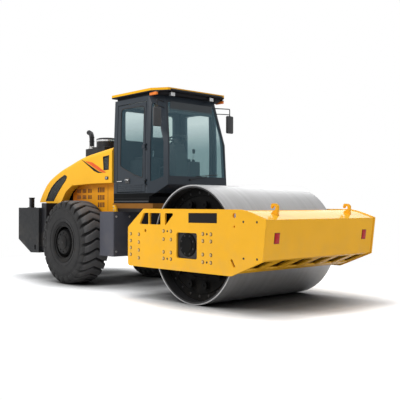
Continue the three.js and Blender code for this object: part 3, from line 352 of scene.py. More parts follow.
NODE_MATERIALS = {
    yellow: ["front_beam", "hood", *pair("side_plate", "lifting_hook")],
    platform_shaded_paint: ["cab_platform"],
    cab_dark: ["cab_floor"],
    panel_shaded_yellow: pair("side_panel"),
    roof_yellow: ["cab_roof"],
    dark_grey: ["rear_crossbeam", "drum_scraper_rear", "drum_scraper_front", "articulation_block",
                "rear_chassis", "hinge_yoke", "tank_housing", "rear_axle", "engine"],
    weight_grey: ["counterweight"],
    cab_grey: ["cab_rear_wall", "cab_front_frame", *pair("cab_side_frame", "door")],
    drum_black: pair("drum_head"),
    black_paint: ["radiator_housing", "exhaust_stack", "air_cleaner",
                  *pair("drum_carrier", "steering_barrel", "mirror")],
    rim_paint: pair("wheel_rim"),
    drum_steel: ["drum_shell"],
    chrome: pair("steering_rod"),
    rubber: pair("tyre"),
    front_glass: ["windscreen", "rear_window"],
    side_glass: pair("door_glass", "quarter_window"),
    cloth: ["seat_cushion", "seat_backrest"],
    plastic: ["seat_base", "steering_console", "steering_wheel", *pair("armrest_console")],
}

SMOOTH_ANGLE = math.radians(32)


def finish_node(cad, material):
    """Gives a CAD node its material and smooth shading, with its sharp edges split."""
    cad.data.materials.clear()
    cad.data.materials.append(material)
    normals = cad.data.attributes.get("custom_normal")
    if normals:
        cad.data.attributes.remove(normals)
    cad.data.polygons.foreach_set("use_smooth", [True] * len(cad.data.polygons))
    cad.modifiers.new("weld", "WELD").merge_threshold = 1e-5
    split = cad.modifiers.new("split", "EDGE_SPLIT")
    split.split_angle = SMOOTH_ANGLE
    split.use_edge_sharp = False
    if material in (front_glass, side_glass):
        cad.visible_shadow = False     # the lamps shine into the cab


for material, names in NODE_MATERIALS.items():
    for name in names:
        finish_node(nodes[name], material)


# ---------------------------------------------------------------- mesh building

def frame_along(direction):
    """A rotation that turns +Z to a direction."""
    return Vector(direction).to_track_quat("Z", "Y").to_matrix().to_4x4()


def from_bmesh(bm):
    bm.verts.index_update()
    verts = [v.co.copy() for v in bm.verts]
    faces = [[v.index for v in f.verts] for f in bm.faces]
    bm.free()
    return verts, faces


def block(low, high, bevel=0.004, segments=2):
    """A box with rounded edges."""
    bm = bmesh.new()
    bmesh.ops.create_cube(bm, size=1.0)
    low, high = Vector(low), Vector(high)
    size = high - low
    for vert in bm.verts:
        vert.co = Vector(low[i] + (vert.co[i] + 0.5) * size[i] for i in range(3))
    bevel = min(bevel, 0.45 * min(abs(c) for c in size))
    if bevel > 0:
        bmesh.ops.bevel(bm, geom=bm.edges[:], offset=bevel, segments=segments, affect="EDGES", profile=0.5)
    return from_bmesh(bm)


def prism(outline, axis, start, end, bevel=0.0, segments=1):
    """An outline drawn across an axis, drawn out along it. The axis is "x", "y" or "z"."""
    bm = bmesh.new()

    def place(u, v, w):
        return {"x": (w, u, v), "y": (u, w, v), "z": (u, v, w)}[axis]

    near = [bm.verts.new(place(u, v, start)) for u, v in outline]
    far = [bm.verts.new(place(u, v, end)) for u, v in outline]
    bm.faces.new(near)
    bm.faces.new(list(reversed(far)))
    count = len(outline)
    for i in range(count):
        j = (i + 1) % count
        bm.faces.new((near[i], far[i], far[j], near[j]))
    bmesh.ops.recalc_face_normals(bm, faces=bm.faces[:])
    if bevel > 0:
        edges = [e for e in bm.edges if len(e.link_faces) == 2 and e.calc_face_angle(0) > 0.4]
        bmesh.ops.bevel(bm, geom=edges, offset=bevel, segments=segments, affect="EDGES", profile=0.5)
    return from_bmesh(bm)


def lathe(profile, centre, direction, steps=32):
    """A turned piece: the profile's points are (radius, distance along the direction)."""
    turn = Matrix.Translation(Vector(centre)) @ frame_along(direction)
    verts, rings = [], []
    for radius, along in profile:
        if radius < 1e-6:
            rings.append([len(verts)])
            verts.append(turn @ Vector((0, 0, along)))
        else:
            ring = []
            for step in range(steps):
                angle = 2 * math.pi * step / steps
                ring.append(len(verts))
                verts.append(turn @ Vector((radius * math.cos(angle), radius * math.sin(angle), along)))
            rings.append(ring)
    faces = []
    for a, b in zip(rings, rings[1:]):
        for step in range(steps):
            nxt = (step + 1) % steps
            quad = [a[step % len(a)], a[nxt % len(a)], b[nxt % len(b)], b[step % len(b)]]
            face = list(dict.fromkeys(quad))
            if len(face) > 2:
                faces.append(face)
    return verts, faces


def smooth_path(points, steps=6, closed=False):
    """A Catmull-Rom curve through the points."""
    points = [Vector(p) for p in points]
    count = len(points)
    result = []
    for i in range(count if closed else count - 1):
        if closed:
            a, b, c, d = (points[(i + k) % count] for k in (-1, 0, 1, 2))
        else:
            a, b, c, d = points[max(i - 1, 0)], points[i], points[i + 1], points[min(i + 2, count - 1)]
        for step in range(steps):
            t = step / steps
            result.append(0.5 * (2 * b + (c - a) * t + (2 * a - 5 * b + 4 * c - d) * t * t
                                 + (3 * b - a - 3 * c + d) * t ** 3))
    if not closed:
        result.append(points[-1])
    return result


def tube(points, radius, sides=12, closed=False):
    """A round bar along a path, closed at its ends."""
    points = [Vector(p) for p in points]
    count = len(points)
    verts, faces = [], []
    side = None
    for i, point in enumerate(points):
        if closed:
            along = points[(i + 1) % count] - points[i - 1]
        else:
            along = points[min(i + 1, count - 1)] - points[max(i - 1, 0)]
        along.normalize()
        if side is None:
            side = along.orthogonal().normalized()
        side = (side - along * side.dot(along)).normalized()
        other = along.cross(side)
        for k in range(sides):
            angle = 2 * math.pi * k / sides
            verts.append(point + radius * (math.cos(angle) * side + math.sin(angle) * other))
    for i in range(count if closed else count - 1):
        a, b = i * sides, ((i + 1) % count) * sides
        for k in range(sides):
            n = (k + 1) % sides
            faces.append([a + k, a + n, b + n, b + k])
    if not closed:
        faces.append(list(reversed(range(sides))))
        faces.append([(count - 1) * sides + k for k in range(sides)])
    return verts, faces


def bolt(centre, direction, radius=0.020, height=0.014):
    """A hexagon head on its washer, with the chamfered top that a real head has."""
    washer = lathe([(0.0, 0.0), (radius * 1.32, 0.0), (radius * 1.32, height * 0.16),
                    (radius * 1.18, height * 0.24), (0.0, height * 0.24)], centre, direction, 20)
    head = lathe([(0.0, height * 0.2), (radius, height * 0.2), (radius, height * 0.82),
                  (radius * 0.84, height), (0.0, height)], centre, direction, 6)
    return washer, head


class Piece:
    """Collects meshes and materials, and then becomes one object that rides on a body."""

    def __init__(self, name, body, slot, *materials):
        self.name, self.body, self.slot, self.materials = name, body, slot, materials
        self.verts, self.faces, self.index = [], [], []

    def add(self, mesh, material=0, matrix=None):
        verts, faces = mesh
        base = len(self.verts)
        self.verts.extend(matrix @ v if matrix else v for v in map(Vector, verts))
        self.faces.extend([i + base for i in face] for face in faces)
        self.index.extend([material] * len(faces))
        return self

    def bolts(self, centres, direction, radius=0.020, height=0.014, material=0):
        for centre in centres:
            for mesh in bolt(centre, direction, radius, height):
                self.add(mesh, material)
        return self

    def done(self, replaces=(), angle=32):
        data = bpy.data.meshes.new(self.name)
        data.from_pydata([tuple(v) for v in self.verts], [], self.faces)
        for material in self.materials:
            data.materials.append(material)
        data.polygons.foreach_set("material_index", self.index)
        bm = bmesh.new()
        bm.from_mesh(data)
        bmesh.ops.recalc_face_normals(bm, faces=bm.faces[:])
        bm.to_mesh(data)
        bm.free()
        data.polygons.foreach_set("use_smooth", [True] * len(data.polygons))
        data.set_sharp_from_angle(angle=math.radians(angle))
        obj = bpy.data.objects.new(self.name, data)
        scene.collection.objects.link(obj)
        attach(obj, self.body)
        if replaces:
            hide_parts(*replaces)
        return obj


def hoop(centre, radius, steps, start=0.0):
    """Points on a circle round an axis that runs across the machine."""
    turns = [2 * math.pi * (step + start) / steps for step in range(steps)]
    return [centre + Vector((radius * math.cos(turn), 0, radius * math.sin(turn))) for turn in turns]


def disc(radius, end, start=0.0):
    """The profile of a plain short cylinder, for lathe."""
    return [(0.0, start), (radius, start), (radius, end), (0.0, end)]


def side_block(side, low, high, bevel=0.004, segments=2):
    """A block whose X runs from the drum's axle, and whose Y runs outwards from the machine's middle."""
    near, far = sorted((side * low[1], side * high[1]))
    return block(at(low[0], near, low[2]), at(high[0], far, high[2]), bevel, segments)


def in_row(outline):
    """An outline of X and Z from the drum's axle, put in the row frame."""
    return [(x + DRUM_X, z) for x, z in outline]


UP = Vector((0, 0, 1))


# ---------------------------------------------------------------- tyres and rims

# Points on the tyre, as (radius, distance outwards from the middle of the tread).
CARCASS = [
    (0.322, -0.206), (0.352, -0.240), (0.392, -0.256), (0.455, -0.266), (0.520, -0.268), (0.580, -0.262),
    (0.630, -0.250), (0.664, -0.228), (0.683, -0.192), (0.691, -0.130), (0.694, -0.060), (0.695, 0.0),
]
LUG_FOOT = [(0.694, 0.012), (0.694, 0.070), (0.691, 0.130), (0.683, 0.192), (0.664, 0.228),
            (0.640, 0.246), (0.612, 0.256)]
LUG_TOP = [(0.735, -0.003), (0.735, 0.070), (0.734, 0.130), (0.729, 0.196), (0.706, 0.248),
           (0.665, 0.266), (0.618, 0.267)]
LUGS = 26
LUG_STATIONS = 14
HUB_CAP = [(0.0, 0.2445), (0.125, 0.2445), (0.125, 0.252), (0.112, 0.258), (0.0, 0.258)]
HUB_PLUG = [(0.0, 0.257), (0.020, 0.257), (0.020, 0.263), (0.0, 0.264)]
LOCK_RING = [(0.300, 0.150), (0.290, 0.170), (0.276, 0.205), (0.274, 0.222), (0.284, 0.230), (0.326, 0.246),
             (0.340, 0.250), (0.344, 0.243), (0.318, 0.230), (0.302, 0.200), (0.300, 0.150)]
VALVE = [(0.282, 0.190), (0.270, 0.210), (0.268, 0.230)]


def part_way(path, share):
    """The point a share of the way through a list of points."""
    spot = share * (len(path) - 1)
    i = min(int(spot), len(path) - 2)
    return tuple(path[i][k] + (path[i + 1][k] - path[i][k]) * (spot - i) for k in (0, 1))


def tyre_lug(hub, start):
    """One half of a curved chevron lug, from the middle of the tread out and down the tyre's side."""
    verts, faces = [], []
    for i in range(LUG_STATIONS + 1):
        share = i / LUG_STATIONS
        angle = start - 0.030 * math.sin(share * math.pi) - 0.20 * share ** 1.1
        wide = 0.060 - 0.012 * share
        foot, top = part_way(LUG_FOOT, share), part_way(LUG_TOP, share)
        rows = ((foot[0] - 0.004, foot[1], wide + 0.016), (top[0] - 0.004, top[1] - 0.002, wide + 0.001),
                (top[0], top[1], wide - 0.005))
        left = [(r, o, angle - w / r) for r, o, w in rows]
        right = [(r, o, angle + w / r) for r, o, w in reversed(rows)]
        verts.extend(hub + Vector((r * math.cos(turn), o, r * math.sin(turn))) for r, o, turn in left + right)
    for i in range(LUG_STATIONS):
        a, b = i * 6, (i + 1) * 6
        for k in range(6):
            n = (k + 1) % 6
            faces.append([a + k, a + n, b + n, b + k])
    faces.append(list(range(6)))
    faces.append([LUG_STATIONS * 6 + k for k in reversed(range(6))])
    return verts, faces


def other_half(mesh, middle):
    """The mesh mirrored across the middle of the tread."""
    verts, faces = mesh
    return [Vector((v.x, 2 * middle - v.y, v.z)) for v in verts], faces


for name, side in SIDES:
    out = Vector((0, side, 0))
    hub = Vector((AXLE_X, side * TYRE_Y, AXLE_Z))
    tyre = Piece(f"tyre_{name}_tread", f"{name}_wheel", "tyre_rubber", rubber)
    section = CARCASS + [(r, -o) for r, o in reversed(CARCASS[:-1])]
    profile = [(p.x, side * p.y) for p in smooth_path([(r, o, 0) for r, o in section], 2)]
    tyre.add(lathe([*profile, profile[0]], hub, (0, 1, 0), 120))
    for index in range(LUGS):
        lug = tyre_lug(hub, index * 2 * math.pi / LUGS)
        tyre.add(lug)
        tyre.add(other_half(lug, hub.y))
    for radius, offset in ((0.420, 0.2635), (0.560, 0.2655)):
        tyre.add(tube(hoop(hub + out * offset, radius, 120), 0.004, 6, closed=True))
    tyre.done(replaces=[f"tyre_{name}"], angle=38)

    rim = Piece(f"rim_fittings_{name}", f"{name}_wheel", "black_paint", rim_paint, bolt_steel, black_paint)
    rim.bolts(hoop(hub - out * 0.010, 0.268, 20), out, 0.014, 0.022, 1)
    rim.bolts(hoop(hub + out * 0.2448, 0.165, 10, 0.5), out, 0.011, 0.010, 0)
    rim.add(lathe(HUB_CAP, hub, out, 40), 0)
    rim.add(lathe(HUB_PLUG, hub, out, 6), 2)
    for radius, offset in ((0.2325, 0.060), (0.2315, 0.140)):
        rim.add(tube(hoop(hub + out * offset, radius, 64), 0.004, 6, closed=True), 0)
    rim.add(lathe(LOCK_RING, hub, out, 72), 0)
    rim.add(tube([hub + Vector((reach, side * y, 0)) for reach, y in VALVE], 0.005, 8), 1)
    rim.done()

# ---------------------------------------------------------------- front frame

PLATE_FACE = node_box("side_plate_left")[1][1]
BOLT_ROWS = [
    (-1.298, (0.954, 0.849, 0.744, 0.639)), (-1.095, (0.952, 0.834, 0.715, 0.597)),
    (-0.504, (1.020, 0.903, 0.718, 0.624)), (-0.340, (1.020, 0.903, 0.718, 0.624)),
    (0.336, (1.005, 0.910, 0.728, 0.626)), (0.494, (1.005, 0.910, 0.728, 0.626)),
]
PLUGS = [(-0.42, 1.020), (-0.42, 0.624), (0.415, 1.005), (0.415, 0.626), (1.095, 1.184), (1.329, 1.184),
         (1.100, 0.718), (1.332, 0.722)]
PLUG = [(0.0, 0.0), (0.015, 0.0), (0.0155, 0.0012), (0.0, 0.0012)]
PANEL = [(0.040, 1.150), (0.610, 1.156), (0.610, 1.290), (0.040, 1.286)]
MOTOR_FACE = 1.1568

for name, side in SIDES:
    out = Vector((0, side, 0))
    face = side * PLATE_FACE
    fittings = Piece(f"side_plate_bolts_{name}", "front_frame", "yellow_paint",
                     painted_bolt, dark_void, washer_painted_shade)
    for x, heights in BOLT_ROWS:
        for z in heights:
            # the dark washer is painted shade round the bolt
            washer, head = bolt(at(x, face, z), out, 0.020, 0.013)
            fittings.add(washer, 2)
            fittings.add(head, 0)
    for x, z in PLUGS:
        fittings.add(lathe(PLUG, at(x, face, z), out, 20), 1)
    fittings.done()

    panel = Piece(f"side_plate_panel_{name}", "front_frame", "yellow_paint", stripe_black)
    panel.add(prism(in_row(PANEL), "y", face, face + side * 0.0015))
    panel.done()

    motor = Piece(f"drum_support_{name}", "front_frame", "black_paint", drum_black, black_paint)
    centre = at(0.0, side * MOTOR_FACE, DRUM_Z)
    motor.add(lathe([(0.0, 0.0), (0.165, 0.0), (0.165, 0.010), (0.158, 0.016), (0.105, 0.016), (0.098, 0.026),
                     (0.0, 0.026)], centre, out, 48), 0)
    motor.bolts(hoop(centre + out * 0.016, 0.132, 8, 0.5), out, 0.011, 0.009, 1)
    motor.done()

# Reflectors on the front face, and the weld seams where the beam meets the side plates.
FACE_TOP = at(1.473, 0.0, 1.216)
FACE_FOOT = at(1.411, 0.0, 0.707)
face_down = (FACE_FOOT - FACE_TOP).normalized()
face_out = face_down.cross(Vector((0, 1, 0))).normalized()
face_out *= math.copysign(1.0, face_out.x)
REFLECTOR_Y, REFLECTOR_Z = 0.945, 0.980

reflectors = Piece("front_reflectors", "front_frame", "yellow_paint", red_lens, black_paint)
for side in (-1, 1):
    spot = FACE_TOP.lerp(FACE_FOOT, (FACE_TOP.z - REFLECTOR_Z) / (FACE_TOP.z - FACE_FOOT.z))
    spot.y = side * REFLECTOR_Y
    lean = Matrix.Translation(spot) @ Matrix((
        (0, face_out.x, -face_down.x, 0), (1, 0, 0, 0), (0, face_out.z, -face_down.z, 0), (0, 0, 0, 1)))
    reflectors.add(block((-0.046, 0.0, -0.066), (0.046, 0.007, 0.066), 0.003), 0, lean)
    reflectors.add(block((-0.050, -0.0005, -0.070), (0.050, 0.003, 0.070), 0.001), 1, lean)
reflectors.done()

WELD_Y = 1.1565
WELD_TOP = [(0.935, 1.329), (1.039, 1.329), (1.123, 1.319), (1.217, 1.298), (1.304, 1.272), (1.390, 1.246),
            (1.472, 1.217)]
WELD_FRONT = [(1.4735, 1.212), (1.4125, 0.712)]
welds = Piece("frame_welds", "front_frame", "yellow_paint", yellow)
for side in (-1, 1):
    top, foot = ([at(x, side * WELD_Y, z) for x, z in line] for line in (WELD_TOP, WELD_FRONT))
    welds.add(tube(smooth_path(top, 3), 0.0055, 8))
    welds.add(tube([foot[0].lerp(foot[1], k / 12) for k in range(13)], 0.0055, 8))
welds.done()

# Near-black sheets inside the front beam, behind its sloping lower plate: painted shade in the beam's openings.
shade_sheets = Piece("front_beam_painted_shade", "front_frame", "black_paint", drum_black)
BEAM_RIBS = [-1.150, -0.800, -0.400, 0.0, 0.400, 0.800, 1.150]
SHADE_SHEET = [(1.360, 0.745), (0.955, 0.577), (0.955, 0.585), (1.357, 0.753)]
for low_y, high_y in zip(BEAM_RIBS, BEAM_RIBS[1:]):
    shade_sheets.add(prism(in_row(SHADE_SHEET), "y", low_y + 0.012, high_y - 0.012))
shade_sheets.done()

crossbar = Piece("crossbeam_details", "front_frame", "dark_paint", dark_grey, bolt_steel)
for side in (-1, 1):
    crossbar.bolts([at(-1.3603, side * y, z) for y in (0.36, 0.52, 0.68) for z in (0.66, 0.94)],
                   (-1, 0, 0), 0.019, 0.013, 1)
    crossbar.add(side_block(side, (-1.3735, 0.81, 0.72), (-1.3598, 0.99, 0.90)), 0)
crossbar.done()

# ---------------------------------------------------------------- drum ends

HEAD_FACE = 0.9355       # outer face of each drum head
BUFFER = [(0.0, 0.0), (0.058, 0.0), (0.058, 0.008), (0.046, 0.014), (0.040, 0.034), (0.046, 0.052),
          (0.058, 0.058), (0.058, 0.066), (0.0, 0.066)]

for name, side in SIDES:
    out = Vector((0, side, 0))
    end = Piece(f"drum_end_{name}_fittings", "drum", "black_paint", drum_black, black_paint)
    centre = Vector((DRUM_X, side * HEAD_FACE, DRUM_Z))
    end.bolts(hoop(centre, 0.735, 24), out, 0.015, 0.012, 1)
    for spot in hoop(centre, 0.585, 12, 0.5):
        end.add(lathe(BUFFER, spot, out, 24), 0)
        end.bolts([spot + out * 0.066], out, 0.014, 0.012, 0)
    for radius in (0.690, 0.470, 0.330):
        end.add(tube(hoop(centre + out * 0.004, radius, 96), 0.009, 8, closed=True), 0)
    end.done()

# ---------------------------------------------------------------- hood, with smooth curves

hood_low, hood_high = node_box("hood")
HOOD_FRONT, HOOD_HALF, HOOD_TOP = hood_high
HOOD_REAR = hood_low[0] + 0.001
HOOD_SKIN, HOOD_CORNER = 0.020, 0.095
HOOD_FLOOR = 1.440
HOOD_LINE = [(0.0, 0.0), (0.900, 0.118), (1.395, 0.245), (1.754, 0.349), (2.130, 0.510), (2.324, 0.671),
             (2.463, 0.846), (2.503, 0.944), (2.503, 1.050)]     # (distance behind the cab, drop)


def hood_profile():
    """The hood's top line as a smooth curve, from the cab to its rear edge."""
    scale = (HOOD_FRONT - HOOD_REAR) / HOOD_LINE[-1][0]
    points = [(HOOD_FRONT - behind * scale, HOOD_TOP - drop, 0) for behind, drop in HOOD_LINE]
    return [(max(p.x, HOOD_REAR), p.y) for p in smooth_path(points, 6)]


def hood_solid(inset, bottom):
    """A closed solid inside the hood's outer form, lofted along its top line."""
    verts, faces = [], []
    line = hood_profile()
    arc = 8
    per = 2 * (arc + 1) + 2
    count = len(line)
    for i, (x, z) in enumerate(line):
        share = i / (count - 1)
        x_in = x - inset if i == 0 else x + inset * min(1.0, max(0.0, (share - 0.42) / 0.3))
        half, radius = HOOD_HALF - inset, HOOD_CORNER - inset / 2
        top = z - inset
        ring = [(-half, bottom)]
        for side, start in ((-1, math.pi), (1, math.pi / 2)):
            for k in range(arc + 1):
                angle = start - (math.pi / 2) * k / arc
                ring.append((side * (half - radius) + radius * math.cos(angle),
                             top - radius + radius * math.sin(angle)))
        ring.append((half, bottom))
        verts.extend(at(x_in, y, max(height, bottom)) for y, height in ring)
    for i in range(count - 1):
        a, b = i * per, (i + 1) * per
        for k in range(per):
            n = (k + 1) % per
            faces.append([a + k, b + k, b + n, a + n])
    faces.append(list(range(per)))
    faces.append([(count - 1) * per + k for k in reversed(range(per))])
    return verts, faces


def temporary(name, mesh):
    """A loose object for a boolean, its doubled points joined."""
    data = bpy.data.meshes.new(name)
    data.from_pydata([tuple(v) for v in mesh[0]], [], mesh[1])
    bm = bmesh.new()
    bm.from_mesh(data)
    bmesh.ops.remove_doubles(bm, verts=bm.verts[:], dist=1e-5)
    bmesh.ops.recalc_face_normals(bm, faces=bm.faces[:])
    bm.to_mesh(data)
    bm.free()
    obj = bpy.data.objects.new(name, data)
    scene.collection.objects.link(obj)
    return obj


def carve(body, *tools):
    """Cuts tools from a mesh and returns the result as lists. Every object used goes."""
    main = temporary("carve_body", body)
    cutters = [temporary(f"carve_tool_{i}", tool) for i, tool in enumerate(tools)]
    for cutter in cutters:
        step = main.modifiers.new("cut", "BOOLEAN")
        step.operation, step.solver, step.object = "DIFFERENCE", "EXACT", cutter
    graph = bpy.context.evaluated_depsgraph_get()
    result = bpy.data.meshes.new_from_object(main.evaluated_get(graph))
    verts = [v.co.copy() for v in result.vertices]
    faces = [list(p.vertices) for p in result.polygons]
    for obj in [main, *cutters]:
        bpy.data.objects.remove(obj)
    bpy.data.meshes.remove(result)
    return verts, faces


def arch_outline(offset):
    """The line of the wheel arch and of the hood's lower edge, moved out by an offset."""
    axle, arch, leg = -3.335, 1.770, 1.333
    leg_front = axle - 0.878
    leg_rear = leg_front - 0.341
    return [
        (HOOD_FRONT + 0.2, arch + offset), (axle + 0.295, arch + offset),
        (axle - 0.340, arch - 0.021 + offset),
        (axle - 0.551 - offset * 0.7, arch - 0.128 + offset * 0.7),
        (axle - 0.731 - offset, arch - 0.332 + offset * 0.4),
        (leg_front - offset * 0.3, leg + 0.008 + offset), (leg_rear, leg + 0.008 + offset),
        (leg_rear - 0.066, HOOD_FLOOR + offset), (HOOD_REAR - 0.3, HOOD_FLOOR + offset),
        (HOOD_REAR - 0.3, 0.3), (HOOD_FRONT + 0.2, 0.3),
    ]


TUNNEL_HALF = 0.628      # the arch is cut right through outside this, and stays a hollow inside it
VENT_DEPTH = 0.012
VENT_STRIP = [(-4.620, 1.470), (-4.512, 1.615), (-4.398, 1.725), (-4.248, 1.820), (-4.100, 1.886),
              (-3.925, 1.945), (-3.856, 1.915), (-3.905, 1.850), (-4.027, 1.757), (-4.155, 1.647),
              (-4.266, 1.545), (-4.330, 1.470)]
SIDE_VENT = [(-2.655, 2.222), (-2.490, 2.240), (-2.500, 2.002), (-2.634, 1.996)]
REAR_SLOTS = [1.560 + 0.040 * k for k in range(5)]
HINGE_WEB = [(-4.891, 1.443), (-4.850, 1.390), (-4.800, 1.427), (-4.820, 1.530), (-4.884, 1.510)]
HINGE_X, HINGE_Y, HINGE_Z = -4.830, 0.500, 1.415

wide = HOOD_HALF + 0.05
tunnel = carve(prism(in_row(arch_outline(HOOD_SKIN)), "y", -wide, wide),
               block(at(HOOD_REAR - 0.4, -TUNNEL_HALF, 0.0), at(HOOD_FRONT + 0.4, TUNNEL_HALF, 3.0), 0.0))
hollow = carve(hood_solid(HOOD_SKIN, 0.45), tunnel)
vents = [prism(in_row(outline), "y", side * (HOOD_HALF - VENT_DEPTH), side * wide)
         for side in (-1, 1) for outline in (VENT_STRIP, SIDE_VENT)]
vents += [block(at(-5.100, low_y, z), at(-4.560, high_y, z + 0.018), 0.0)
          for z in REAR_SLOTS for low_y, high_y in ((-0.455, -0.030), (0.030, 0.455))]
hood = Piece("hood_shell", "engine_hood", "yellow_paint", yellow)
hood.add(carve(hood_solid(0.0, 0.50), prism(in_row(arch_outline(0.0)), "y", -wide, wide), hollow, *vents))
for side in (-1, 1):
    y = side * HINGE_Y
    hood.add(prism(in_row(HINGE_WEB), "y", y, y + side * 0.020, 0.002))
    hood.add(lathe([(0.018, 0.0), (0.034, 0.0), (0.034, 0.020), (0.018, 0.020), (0.018, 0.0)],
                   at(HINGE_X, y, HINGE_Z), (0, side, 0), 32))
hood.done(replaces=["hood"], angle=30)


def grid_inside(outline, spacing, slope):
    """Bars across an outline, as start and end points along the slope."""
    polygon = [Vector(p) for p in outline]
    along = Vector((math.cos(slope), math.sin(slope)))
    across = Vector((-along.y, along.x))
    low = min(p.dot(across) for p in polygon)
    high = max(p.dot(across) for p in polygon)
    bars = []
    for k in range(1, int((high - low) / spacing)):
        level = low + k * spacing
        hits = []
        for a, b in zip(polygon, polygon[1:] + polygon[:1]):
            da, db = a.dot(across) - level, b.dot(across) - level
            if da * db < 0:
                hits.append(a.lerp(b, da / (da - db)).dot(along))
        hits.sort()
        for start, end in zip(hits[::2], hits[1::2]):
            bars.append((along * start + across * level, along * end + across * level))
    return bars


MESH_SPACING = 0.022
BLACK_STRIPE = [(-3.365, 2.212), (-3.266, 2.180), (-3.135, 2.120), (-2.974, 2.051), (-2.816, 1.983),
                (-2.662, 1.946), (-2.816, 1.950), (-2.942, 1.988), (-3.086, 2.065), (-3.233, 2.143)]
ORANGE_STRIPE = [(-3.240, 2.180), (-3.006, 2.146), (-2.816, 2.066), (-2.692, 2.006), (-2.571, 1.948),
                 (-2.652, 1.949), (-2.806, 1.992), (-2.966, 2.060), (-3.126, 2.130)]
LATCH_X, LATCH_Z = -2.545, 1.855

for name, side in SIDES:
    face = side * HOOD_HALF
    vent = Piece(f"hood_vents_{name}", "engine_hood", "black_paint", dark_void, mesh_grey, black_paint)
    for outline, slope in ((VENT_STRIP, math.radians(50)), (SIDE_VENT, math.radians(6))):
        # a near-black plate behind the mesh: painted shade in the vent's opening
        vent.add(prism(in_row(outline), "y", face - side * 0.0125, face - side * 0.0100), 0)
        for ends in grid_inside(outline, MESH_SPACING, slope):
            vent.add(tube([at(end.x, face - side * 0.006, end.y) for end in ends], 0.0050, 6), 1)
        edge = [at(x, face + side * 0.0005, z) for x, z in outline]
        vent.add(tube(edge, 0.010, 8, closed=True), 2)
    vent.done()

    stripe = Piece(f"hood_stripe_{name}", "engine_hood", "yellow_paint", stripe_black, stripe_orange)
    for material, outline in enumerate((BLACK_STRIPE, ORANGE_STRIPE)):
        stripe.add(prism(in_row(outline), "y", face, face + side * 0.0012), material)
    stripe.done()

    trim = Piece(f"hood_latch_{name}", "engine_hood", "cab_plastic", plastic, chrome)
    trim.add(side_block(side, (LATCH_X - 0.045, HOOD_HALF, LATCH_Z - 0.026),
                        (LATCH_X + 0.045, HOOD_HALF + 0.014, LATCH_Z + 0.026), 0.005), 0)
    trim.add(lathe(disc(0.014, 0.018, start=0.012), at(LATCH_X, face, LATCH_Z), (0, side, 0), 20), 1)
    trim.done()


def band(inner, outer, low, high, soften):
    """The closed profile of a flat ring with softened outer corners, for lathe."""
    return [(inner, low), (outer, low + soften), (outer, high - soften), (inner, high), (inner, low)]


# The air cleaner's bands and lid, and the exhaust pipe's foot and clamps.
CLEANER_LID = [(0.0, 0.180), (0.150, 0.180), (0.206, 0.176), (0.208, 0.181), (0.160, 0.198), (0.060, 0.206),
               (0.0, 0.206)]
PIPE_FOOT = [(0.049, 0.0), (0.068, 0.0), (0.068, 0.010), (0.054, 0.018), (0.054, 0.045), (0.049, 0.050),
             (0.049, 0.0)]
cleaner = at(-3.455, -0.150, 2.445)
pipe_foot = at(-3.910, -0.200, 2.465)
stacks = Piece("stack_fittings", "engine_hood", "black_paint", black_paint, silver, bolt_steel)
stacks.add(lathe(band(0.2055, 0.212, 0.128, 0.162, 0.002), cleaner, UP, 64), 1)
stacks.add(lathe(band(0.2055, 0.210, 0.010, 0.028, 0.002), cleaner, UP, 64), 0)
stacks.add(lathe(CLEANER_LID, cleaner, UP, 64), 0)
stacks.add(lathe(PIPE_FOOT, pipe_foot, UP, 40), 2)
corner = 0.060 * math.sqrt(0.5)
stacks.bolts([pipe_foot + Vector((x, y, 0.010)) for x in (-corner, corner) for y in (-corner, corner)],
             UP, 0.006, 0.006, 2)
for z in (0.14, 0.22):
    stacks.add(lathe(band(0.0485, 0.0515, 0.0, 0.014, 0.001), pipe_foot + UP * z, UP, 40), 0)
stacks.done()

# ---------------------------------------------------------------- side panels, tank housing, rear end

PANEL_HALF = node_box("side_panel_left")[1][1]
SLOTS = [(-3.062 + 0.056 * i, z, 0.040, 0.086) for z in (1.352, 1.484, 1.617) for i in range(4)]
SLOTS += [(start + 0.043 * i, z, 0.030, 0.070) for z in (1.500, 1.612) for start in (-3.742, -3.560, -3.378)
          for i in range(3)]
SEAM_X = -2.745
FILLER_CAP = [(0.0, 0.020), (0.050, 0.020), (0.052, 0.026), (0.052, 0.044), (0.044, 0.052), (0.0, 0.052)]
POST_X, POST_Y = -4.780, 1.000
POST_BLOCKS = ((0.038, 1.3352, 1.520, 0.006, 3), (0.044, 1.512, 1.532, 0.005, 2),
               (0.060, 1.3350, 1.343, 0.002, 2))

